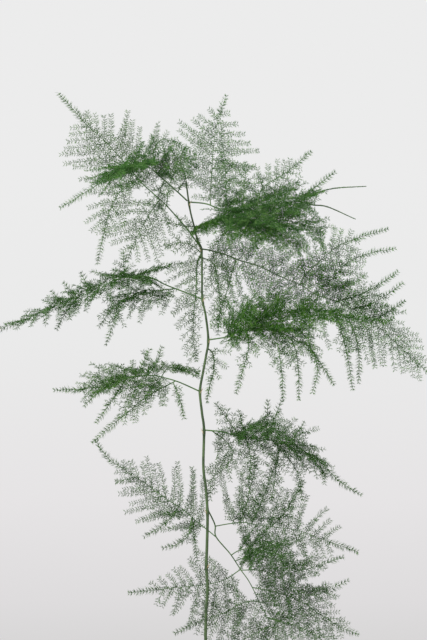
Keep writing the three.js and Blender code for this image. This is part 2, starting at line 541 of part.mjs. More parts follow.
function placeCurve(curve, from, radius, owner) {
  const count = Math.ceil(curve.getLength() / PLACED_STEP);
  const points = [];
  for (let i = 0; i <= count; i += 1) {
    points.push(curve.getPointAt(THREE.MathUtils.lerp(from, 1, i / count)));
  }
  for (let i = 0; i < count; i += 1) {
    placed.push(rodLine(points[i], points[i + 1], radius, owner));
  }
}

// The way a spray's blade lies part of the way along its curve.
function bladeAt(curve, face, share) {
  const along = curve.getTangentAt(share);
  const left = new THREE.Vector3(...face).cross(along).normalize();
  return { at: curve.getPointAt(share), along, left, out: along.clone().cross(left) };
}

// The pinnae of a spray in alternating pairs, a left one and then a right one half a step on.
function pinnaPairs(spray, curve, draw) {
  const [from, to] = spray.leafy;
  const count = Math.max(1, Math.round(((to - from) * curve.getLength()) / PINNA_PITCH));
  const pinnaAt = (along, side) => {
    const share = from + (to - from) * along;
    const blade = bladeAt(curve, spray.face ?? FACING, share);
    const reach = alongStretch(side > 0 ? spray.left : spray.right, along)
      * (1 + REACH_SPREAD * (draw() - 0.5));
    const leans = spray.lean ?? PINNA_LEANS;
    const lean = leans[side > 0 ? 0 : 1] * (1 - TIP_LEAN_EASE * along * along)
      + LEAN_SPREAD * (draw() - 0.5);
    const angle = THREE.MathUtils.degToRad(lean);
    const away = blade.along.clone().multiplyScalar(Math.cos(angle))
      .addScaledVector(blade.left, side * Math.sin(angle))
      .addScaledVector(blade.out, (spray.ruffle ?? RUFFLE) * (draw() - 0.5))
      .normalize();
    const bend = blade.along.clone().multiplyScalar(PINNA_CURL)
      .addScaledVector(UP, -(spray.sag ?? PINNA_SAG));
    const lace = (spray.lace ?? LACE)[side > 0 ? 0 : 1];
    return { share, side, root: blade.at, away, bend, out: blade.out, reach, lace };
  };
  const pairs = [];
  for (let i = 0; i < count; i += 1) {
    pairs.push([pinnaAt((i + 0.25) / count, 1), pinnaAt((i + 0.75) / count, -1)]);
  }
  return pairs;
}

function pinnaPoint({ root, away, bend, reach }, share) {
  return root.clone().addScaledVector(away, reach * share).addScaledVector(bend, reach * share * share);
}

function pinnaRing(pinna, share) {
  const along = pinna.away.clone().addScaledVector(pinna.bend, 2 * share).normalize();
  const left = pinna.out.clone().cross(along).normalize();
  const radius = THREE.MathUtils.lerp(PINNA_RADIUS, TIP_RADIUS, share);
  return { at: pinnaPoint(pinna, share), along, left, out: along.clone().cross(left), radius };
}

// A needle or a fine twig, cut short or left out where it would meet another shoot.
function spike(foot, direction, length, owner, carrier) {
  for (const share of SPIKE_SHARES) {
    const tip = foot.clone().addScaledVector(direction, length * share);
    const line = rodLine(foot, tip, TIP_RADIUS, owner);
    if (length * share > LEAST_SPIKE && isClear(line, carrier)) {
      placed.push(line);
      return { rings: [], tip };
    }
  }
  return null;
}

// Spikes to the left and right of a band between two rings, leaning towards its tip.
function spikesOn(low, high, length, owner, carrier) {
  const foot = low.at.clone().lerp(high.at, 0.5);
  const shoots = [null, null, null];
  for (const side of [RIGHT, LEFT]) {
    const direction = low.along.clone().multiplyScalar(Math.cos(TWIG_LEAN))
      .addScaledVector(low.left, (side === LEFT ? 1 : -1) * Math.sin(TWIG_LEAN));
    shoots[side] = spike(foot, direction, length, owner, carrier);
  }
  return shoots;
}

// How much of a pinna can grow before it meets another shoot.
function clearShare(pinna, owner, carrier) {
  const at = (step) => pinnaPoint(pinna, step / CLEAR_STEPS);
  for (let i = 0; i < CLEAR_STEPS; i += 1) {
    if (!isClear(rodLine(at(i), at(i + 1), PINNA_RADIUS, owner), carrier)) {
      return i / CLEAR_STEPS;
    }
  }
  return 1;
}

function pinnaShoot(pinna, owner, carrier) {
  const share = clearShare(pinna, owner, carrier);
  if (share < LEAST_CLEAR) {
    return null;
  }
  const grown = { ...pinna, reach: pinna.reach * share, bend: pinna.bend.clone().multiplyScalar(share) };
  const tip = pinnaPoint(grown, 1);
  placed.push(rodLine(grown.root, pinnaPoint(grown, 0.5), PINNA_RADIUS, owner));
  placed.push(rodLine(pinnaPoint(grown, 0.5), tip, PINNA_RADIUS, owner));
  if (grown.reach < PLAIN_REACH) {
    return { rings: [], tip };
  }
  const bands = Math.max(1, Math.round(grown.reach / BAND_PITCH));
  const half = (0.5 * NEEDLE_ROOT) / grown.reach;
  const rings = [];
  for (let band = 0; band < bands; band += 1) {
    const middle = (band + 0.6) / (bands + 0.3);
    const low = pinnaRing(grown, middle - half);
    const high = pinnaRing(grown, middle + half);
    const length = NEEDLE_LENGTH + grown.lace * grown.reach * (1 - middle) ** 1.5;
    rings.push(low, { ...high, shoots: spikesOn(low, high, length, owner, carrier) });
  }
  return { rings, tip };
}

// The face of a ring that a direction leaves through.
function faceTowards(ring, direction) {
  const angle = Math.atan2(direction.dot(ring.out), direction.dot(ring.left));
  const match = FACE_ANGLES.map((faceAngle) => Math.cos(faceAngle - angle));
  return match.indexOf(Math.max(...match));
}

// A spray's rachis with all that it carries: its pinnae, the sprays that branch from it, and
// needles along its tail. Bands that would lie too close together are moved on.
function sprayShoot(frond, index) {
  const { spray, curve, radius, start, pinnae, branches } = frond[index];
  const owner = spray.name;
  const length = curve.getLength();
  const face = spray.face ?? FACING;
  const ringAt = (share) => ({ ...bladeAt(curve, face, share),
    radius: THREE.MathUtils.lerp(radius, TIP_RADIUS, share) });
  const bands = [
    ...branches.map((branch) => ({ share: frond[branch].joint, branch })),
    ...pinnae.map((pinna) => ({ share: pinna.share, pinna })),
  ];
  const to = spray.leafy[1];
  const needleBands = Math.floor(((1 - to) * length) / TAIL_PITCH);
  for (let i = 1; i < needleBands; i += 1) {
    bands.push({ share: to + ((1 - to) * i) / needleBands });
  }
  bands.sort((a, b) => a.share - b.share);

  const rings = [ringAt(start)];
  const half = (0.5 * NEEDLE_ROOT) / length;
  let last = start;
  for (const band of bands) {
    const share = Math.max(band.share, last + BAND_SPACING / length);
    if (share > 1 - BAND_SPACING / length) {
      break;
    }
    const fill = Math.floor(((share - last) * length) / RACHIS_PITCH);
    for (let i = 1; i <= fill; i += 1) {
      rings.push(ringAt(THREE.MathUtils.lerp(last, share, i / (fill + 1))));
    }
    const low = ringAt(share - half);
    const high = ringAt(share + half);
    let shoots = [null, null, null];
    if (band.branch) {
      const away = frond[band.branch].curve.getTangentAt(0);
      shoots[faceTowards(low, away)] = sprayShoot(frond, band.branch);
    } else if (band.pinna) {
      const pinnaName = `${owner}/${band.share}`;
      shoots[band.pinna.side > 0 ? LEFT : RIGHT] = pinnaShoot(band.pinna, pinnaName, owner);
    } else {
      shoots = spikesOn(low, high, NEEDLE_LENGTH * (spray.tail ?? 1), owner, owner);
    }
    rings.push(low, { ...high, shoots });
    last = share;
  }
  const fill = Math.floor(((1 - last) * length) / RACHIS_PITCH);
  for (let i = 1; i <= fill; i += 1) {
    rings.push(ringAt(THREE.MathUtils.lerp(last, 1, i / (fill + 1))));
  }
  return { rings, tip: curve.getPointAt(1) };
}

function nearestShare(curve, point) {
  let best = { share: 0, gap: Infinity };
  for (let i = 0; i <= NEAREST_STEPS; i += 1) {
    const share = i / NEAREST_STEPS;
    const gap = curve.getPointAt(share).distanceTo(point);
    if (gap < best.gap) {
      best = { share, gap };
    }
  }
  return best;
}

function stemRadius(height) {
  const share = THREE.MathUtils.clamp((height - SOIL_LEVEL) / (STEM_TOP - SOIL_LEVEL), 0, 1);
  return THREE.MathUtils.lerp(STEM_BASE_RADIUS, STEM_TOP_RADIUS, share ** STEM_TAPER);
}

const stemCurve = curveThrough(vectors(STEM_ROUTE));

// The sprays of a frond with their curves and pinnae. Each later spray starts on the nearest
// earlier one, and every second pair of pinnae is left out.
function frondPlan(name, sprays, seed) {
  const draw = drawsFrom(seed);
  const plan = [];
  sprays.forEach((spray, i) => {
    const points = vectors(spray.route);
    let joint = 0;
    if (i > 0) {
      const nearest = plan.map((other) => nearestShare(other.curve, points[0]));
      const carrier = nearest.reduce((best, found, k) => (found.gap < nearest[best].gap ? k : best), 0);
      joint = nearest[carrier].share;
      points[0] = plan[carrier].curve.getPointAt(joint);
      plan[carrier].branches.push(i);
    }
    const curve = curveThrough(points);
    plan.push({
      spray: { ...spray, name: `${name}/${i}` },
      curve,
      joint,
      start: i > 0 ? JOINT_ROOM / curve.getLength() : 0,
      radius: i > 0 ? BRANCH_RADIUS : RACHIS_RADIUS,
      pinnae: pinnaPairs(spray, curve, draw).filter((pair, k) => k % 2 === 0).flat(),
      branches: [],
    });
  });
  return plan;
}

// The stem with some clearance all round it.
function stemSolid(clearance) {
  const points = stemCurve.getSpacedPoints(STEM_BANDS);
  const corner = clearance / Math.cos(Math.PI / STEM_SIDES);
  return rod(points, points.map((point) => stemRadius(point.z) + corner), STEM_SIDES);
}

// A papery scale that clasps the stem below a frond.
function scaleLeaf(height, side) {
  const foot = stemCurve.getPointAt(nearestShare(stemCurve, new THREE.Vector3(0, 0, height)).share);
  const reach = stemRadius(height);
  const ring = (rise, offset) => ({
    at: foot.clone().add(new THREE.Vector3(side * offset, -0.3, rise)),
    left: new THREE.Vector3(-1, 0, 0),
    out: new THREE.Vector3(0, -1, 0),
    radius: SCALE_RADIUS,
  });
  const tip = foot.clone().add(new THREE.Vector3(side * (reach + SCALE_REACH), -0.3, 2.6));
  return grownSolid({ rings: [ring(-2.5, 0.4), ring(0.5, reach * 0.8)], tip });
}

// The outer radius of the pot at a height.
function potOuterRadius(height) {
  const bodyTop = POT_HEIGHT - RIM_HEIGHT;
  const share = THREE.MathUtils.clamp(height / bodyTop, 0, 1);
  return THREE.MathUtils.lerp(POT_FOOT_RADIUS, POT_RIM_RADIUS - RIM_STEP - EDGE_ROUND, share);
}

function potSolid() {
  const bodyTop = POT_HEIGHT - RIM_HEIGHT;
  const inner = (height) => potOuterRadius(height) - POT_WALL;
  const profile = [
    [0, 0], [POT_FOOT_RADIUS - EDGE_ROUND, 0], [POT_FOOT_RADIUS, EDGE_ROUND],
    [potOuterRadius(bodyTop), bodyTop], [POT_RIM_RADIUS - EDGE_ROUND, bodyTop],
    [POT_RIM_RADIUS - EDGE_ROUND / 2, bodyTop + EDGE_ROUND], [POT_RIM_RADIUS, POT_HEIGHT - EDGE_ROUND],
    [POT_RIM_RADIUS - EDGE_ROUND, POT_HEIGHT], [POT_RIM_RADIUS - POT_WALL, POT_HEIGHT],
    [inner(bodyTop) + EDGE_ROUND, POT_HEIGHT - EDGE_ROUND], [inner(bodyTop), bodyTop],
    [inner(FLOOR_THICKNESS), FLOOR_THICKNESS], [0, FLOOR_THICKNESS],
  ];
  let pot = closedSolid(turned(profile, POT_SEGMENTS));
  for (let i = 0; i < DRAIN_HOLES; i += 1) {
    const angle = (2 * Math.PI * (i + 0.5)) / DRAIN_HOLES;
    pot = pot.subtract(uprightRod(DRAIN_RADIUS, -1, FLOOR_THICKNESS + 1, 10,
      DRAIN_CIRCLE * Math.cos(angle), DRAIN_CIRCLE * Math.sin(angle)));
  }
  return pot;
}

// Soil with an uneven top, and a hole that the stem stands in.
function soilSolid() {
  const bottom = FLOOR_THICKNESS + GAP;
  const bodyTop = POT_HEIGHT - RIM_HEIGHT;
  const inner = (height) => potOuterRadius(height) - POT_WALL - GAP;
  const top = [];
  for (let ring = 0; ring <= SOIL_RINGS; ring += 1) {
    top.push([inner(bodyTop) * (1 - ring / SOIL_RINGS), SOIL_LEVEL]);
  }
  const profile = [[0, bottom], [inner(bottom), bottom], [inner(bodyTop), bodyTop], ...top];
  const geometry = turned(profile, POT_SEGMENTS);
  const corners = geometry.getAttribute("position");
  for (let i = 0; i < corners.count; i += 1) {
    const x = corners.getX(i);
    const y = corners.getY(i);
    if (corners.getZ(i) > SOIL_LEVEL - 0.01) {
      const bump = Math.sin(0.21 * x + 1) * Math.cos(0.17 * y) + 0.6 * Math.sin(0.4 * x - 0.33 * y);
      corners.setZ(i, SOIL_LEVEL + SOIL_BUMPS * bump);
    }
  }
  return closedSolid(geometry).subtract(
    uprightRod(STEM_BASE_RADIUS + GAP, STEM_FOOT - GAP, POT_HEIGHT, 12));
}

function mainStem() {
  const scales = [[233.4, 1], [288, -1], [368, -1], [408.5, 1], [459, 1], [500, 1], [550, -1], [596, 1]];
  return wasm.Manifold.union([stemSolid(0), ...scales.map(([height, side]) => scaleLeaf(height, side))]);
}

function clay() {
  return new THREE.MeshStandardMaterial({ color: 0xa8674a, roughness: 0.85, metalness: 0 });
}

function earth() {
  return new THREE.MeshStandardMaterial({ color: 0x3a2a20, roughness: 1, metalness: 0 });
}

function stemGreen() {
  return new THREE.MeshStandardMaterial({ color: 0x5c7a48, roughness: 0.5, metalness: 0 });
}

function frondGreen() {
  return new THREE.MeshStandardMaterial({ color: 0x4f8a45, roughness: 0.6, metalness: 0 });
}

// Plans every frond first, so that each can keep clear of the others as it grows.
function pottedFern() {
  const plant = new THREE.Group();
  plant.name = "potted_lace_fern";
  plant.add(meshFrom("pot", potSolid(), clay()));
  plant.add(meshFrom("soil", soilSolid(), earth()));
  plant.add(meshFrom("main_stem", mainStem(), stemGreen()));

  placeCurve(stemCurve, 0, STEM_BASE_RADIUS, "stem");
  const plans = Object.entries(FRONDS).map(([name, sprays], i) => [name, frondPlan(name, sprays, i + 1)]);
  for (const [, plan] of plans) {
    for (const { curve, start, radius, spray } of plan) {
      placeCurve(curve, start, radius, spray.name);
    }
  }
  const seat = stemSolid(GAP);
  for (const [name, plan] of plans) {
    plant.add(meshFrom(name, grownSolid(sprayShoot(plan, 0)).subtract(seat), frondGreen()));
  }
  return plant;
}

export default pottedFern();
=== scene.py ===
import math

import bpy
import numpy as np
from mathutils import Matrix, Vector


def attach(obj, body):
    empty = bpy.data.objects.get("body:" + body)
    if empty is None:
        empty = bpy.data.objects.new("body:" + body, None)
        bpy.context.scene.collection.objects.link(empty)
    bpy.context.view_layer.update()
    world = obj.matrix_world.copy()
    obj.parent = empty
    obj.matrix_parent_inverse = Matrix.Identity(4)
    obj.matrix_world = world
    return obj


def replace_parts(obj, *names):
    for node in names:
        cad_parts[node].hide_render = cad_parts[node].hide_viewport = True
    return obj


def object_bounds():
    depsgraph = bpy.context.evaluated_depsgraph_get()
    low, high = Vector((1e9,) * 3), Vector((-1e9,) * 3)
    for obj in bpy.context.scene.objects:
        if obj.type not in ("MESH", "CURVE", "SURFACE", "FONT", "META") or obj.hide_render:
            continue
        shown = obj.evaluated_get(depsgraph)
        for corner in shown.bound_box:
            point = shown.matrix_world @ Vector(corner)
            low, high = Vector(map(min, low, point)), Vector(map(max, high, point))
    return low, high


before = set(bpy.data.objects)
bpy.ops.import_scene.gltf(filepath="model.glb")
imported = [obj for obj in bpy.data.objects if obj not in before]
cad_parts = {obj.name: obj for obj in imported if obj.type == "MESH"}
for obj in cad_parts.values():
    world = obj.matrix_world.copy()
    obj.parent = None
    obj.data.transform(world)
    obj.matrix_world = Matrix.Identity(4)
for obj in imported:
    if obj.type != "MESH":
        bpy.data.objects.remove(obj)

# A potted lace fern, dressed over its frame: fine twigs and hair-like needles on every frond, a
# wiry stem with papery scales, a clay pot and crumbly soil. Lengths are millimetres, as in the
# table of fronds, until a mesh is made.

cad_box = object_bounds()
MM = 0.001

# The pot and its soil.
POT_HEIGHT = 125
POT_RIM_RADIUS = 69
POT_FOOT_RADIUS = 48
POT_WALL = 5
RIM_HEIGHT = 24
RIM_STEP = 3
RIM_CHAMFER = 1
FLOOR_THICKNESS = 7
DRAIN_HOLES = 4
DRAIN_RADIUS = 5
DRAIN_CIRCLE = 28
DRAIN_SEGMENTS = 32
DRILL_MARGIN = 1
BODY_TOP = POT_HEIGHT - RIM_HEIGHT
EDGE_ROUND = 2
EDGE_STEPS = 6
EDGE_SHARE = 0.45
SHARP_EDGE = math.radians(40)
RIM_LEAN = EDGE_ROUND / (RIM_HEIGHT - EDGE_ROUND)
TURN_SEGMENTS = 80
SOIL_LEVEL = 112
SOIL_BUMPS = 1.2
SOIL_ROUGHNESS = 0.25
SOIL_RINGS = 34
SOIL_SEED = 40
CRUMBS = 620
CRUMB_SIZES = (0.7, 2.6)
PERLITE = 60
PERLITE_SIZES = (0.8, 1.9)
CRUMBS_FROM_STEM = 4
CRUMBS_FROM_EDGE = 2
CRUMB_RISE = 0.2
CRUMB_STRETCH = (0.6, 1.2)
CRUMB_ROUGHNESS = (0.7, 1.2)
CRUMB_SHRINK = (0.5, 1)

# The stem.
STEM_FOOT = 78
STEM_TOP = 619
STEM_BASE_RADIUS = 1.6
STEM_TOP_RADIUS = 0.8
STEM_TAPER = 1.6
STEM_SLIMMING = 0.97
STEM_RINGS = 380
STEM_SIDES = 14
NODE_SWELL = 0.35
NODE_LENGTH = 3.5

# A papery scale's line from its foot: how far out as a share of the stem's radius, how much
# farther, how far back and how far up. Then its radius there, and how thin it is for its width.
SCALE_LENGTH = 4.2
SCALE_LINE = (
    (0.4, 0, -0.5, -1.8), (1, 0, -0.8, 0.4), (1, 1.2, -0.9, SCALE_LENGTH / 2),
    (1, 2, -0.8, SCALE_LENGTH))
SCALE_RADII = (1.2, 1.3, 0.8, 0.15)
SCALE_THINNESS = 0.35
SCALE_SIDES = 10

# Rachises, pinnae and twigs. Of a pair of pinnae, the left one stands first.
RACHIS_RADIUS = 0.75
BRANCH_RADIUS = 0.55
PINNA_RADIUS = 0.4
PINNA_TIP_RADIUS = 0.16
TWIG_RADIUS = 0.2
TWIG_RADII = (TWIG_RADIUS, 0.12, 0.08)
RACHIS_RING_PITCH = 2.5
LEAST_RINGS = 6
RACHIS_SIDES = 8
PINNA_RINGS = 6
PINNA_SIDES = 4
TWIG_SIDES = 3
TUBE_TIP = 0.05
PINNA_PITCH = 8.8
PINNA_PAIR = ((0.25, 1), (0.75, -1))
PINNA_LEANS = (62, 62)
LEAN_SPREAD = 16
TIP_LEAN_EASE = 0.3
LEAST_REACH = 0.85
REACH_SPREAD = 0.3
PINNA_CURL = 0.14
PINNA_SAG = 0.07
LACE = 0.24
RUFFLE = 0.5
TWIG_PITCH = 3.8
TWIG_SHORTEST = 2
TWIG_TAPER = 1.5
TWIG_STRAY = 0.2
TWIG_FIRST = 0.7
TWIG_LAST = 0.4
TWIG_STRETCH = (0.03, 0.99)
TWIG_LENGTHS = (0.8, 1.2)
TWIG_LEAN = math.radians(50)
TWIG_LEAN_SPREAD = 0.15
TWIG_TILT_SPREAD = 0.25
PETIOLE_ROOM = 1.0
GAP = 0.3

# Needles. They stand in bundles, and a pair or a whorl of bundles goes round its twig.
NEEDLE_LENGTH = 4.8
NEEDLE_LENGTHS = (0.8, 1.12)
NEEDLE_WIDTH = 0.32
NEEDLE_WIDTHS = (0.85, 1.15)
NEEDLE_FOLD = 0.5
NEEDLE_WIDEST = 0.42
NEEDLE_GLOW = 0.45
NEEDLE_LEAN = math.radians(56)
TAIL_NEEDLE_LEAN = math.radians(52)
NEEDLE_LEAN_SPREAD = 0.12
GOLDEN_ANGLE = math.pi * (3 - 5**0.5)
TURN_SPREAD = 0.5
FAN_SPREAD = 0.3
BUNDLE = (-0.2, -0.1, 0, 0.1, 0.2)
PAIR = (0, math.pi)
WHORL = tuple(2 * math.pi * k / 4 for k in range(4))
WHORL_PITCH = 2.1
TWIG_WHORL_PITCH = 2.4
TAIL_WHORL_PITCH = 2.8
LEAST_WHORLS = 3
WHORL_STRAY = 0.22
FIRST_WHORL = 0.04
NEAREST_WHORL = 0.02
PINNA_WHORL_SIZES = (0.9, 1.1)
TWIG_WHORL_PLACES = (0.6, 1.0)
RACHIS_WHORL_SIZES = (0.85, 1.1)

# How long needles are along what bears them, as shares of NEEDLE_LENGTH: for pinnae and twigs
# the places and the sizes there, for a rachis and its tail the sizes at start, middle and end.
PINNA_NEEDLES = ((0, 0.75, 1), (1.05, 1.05, 0.8))
TWIG_NEEDLES = ((0, 0.6, 1), (0.7, 0.75, 0.6))
RACHIS_NEEDLES = (0.7, 0.8, 0.9)
TAIL_NEEDLES = (1.35, 1.3, 0.85)

# The studio, in metres.
WORLD_STRENGTH = 1.0
SKY_BAND = (-0.14, 0.06)
FLOOR_RADIUS = 2.2
FLOOR_BEHIND = 1.1
FLOOR_SIDES = 128
LIGHT_PLACE = (-1.4, -1.6, 1.9)
LIGHT_TARGET = (0, 0, 0.45)
LIGHT_SIZE = 0.8
LIGHT_POWER = 60

# The photograph is level with the middle of the plant, about 1 mm to a pixel.
IMAGE_HEIGHT = 640
SENSOR_HEIGHT = 36
VIEW_HEIGHT = 480
VIEW_CENTRE = 7.5
VIEW_DISTANCE = 2400

FACING = (0, -1, 0)
UP = np.array((0.0, 0.0, 1.0))
TANGENT_STEP = 1e-4
STEEP = 0.9

# The stem's centre line, from inside the soil to the top.
STEM_ROUTE = [
    [0, 0, STEM_FOOT], [0, 0, SOIL_LEVEL], [-0.4, 0, 160], [0, 0, 186], [1.5, 0, 213],
    [0.4, 0, 233], [1, 0, 256], [1.5, 0, 284], [0, 0, 311], [-2.6, 0, 333], [-2, 0, 370],
    [-4, 0, 387], [-6, 0, 408.5], [-3, 0, 427.5], [0, 0, 444], [2.3, 0, 460], [-0.4, 0, 485],
    [-3.7, 0, 501], [-4, 0, 523], [-4.5, 0, 550], [-8.6, 0, 560], [-12, 0, 574],
    [-15.4, 0, 587.5], [-17.3, 0, 598.5], [-20, 0, STEM_TOP]]

# The stem's nodes: their height, and 1 or -1 for the side that bears a scale.
STEM_NODES = [
    (233.4, 1), (288, -1), (368, -1), (408.5, 1), (459, 1), (500, 1), (550, -1), (596, 1)]


def sprig(route, leafy, left, right=None, face=FACING, lean=PINNA_LEANS, lace=LACE, ruffle=RUFFLE,
          tail=1):
    """A spray of a frond. It has a route, the stretch of the route that bears pinnae, and the
    reach of the pinnae on its left and right at the start, middle and end of that stretch. It
    also has the way its blade faces, the lean of the left and right pinnae from the route in
    degrees, lace (how long the twigs of the left and right pinnae are, as a share of their
    pinna), ruffle (how far the pinnae stray out of the blade), and tail (how long and how far
    apart the needles of the tail are, as a share of the others)."""
    return dict(route=route, leafy=leafy, left=left, right=right or left, face=face, lean=lean,
                lace=np.broadcast_to(lace, 2), ruffle=ruffle, tail=tail)


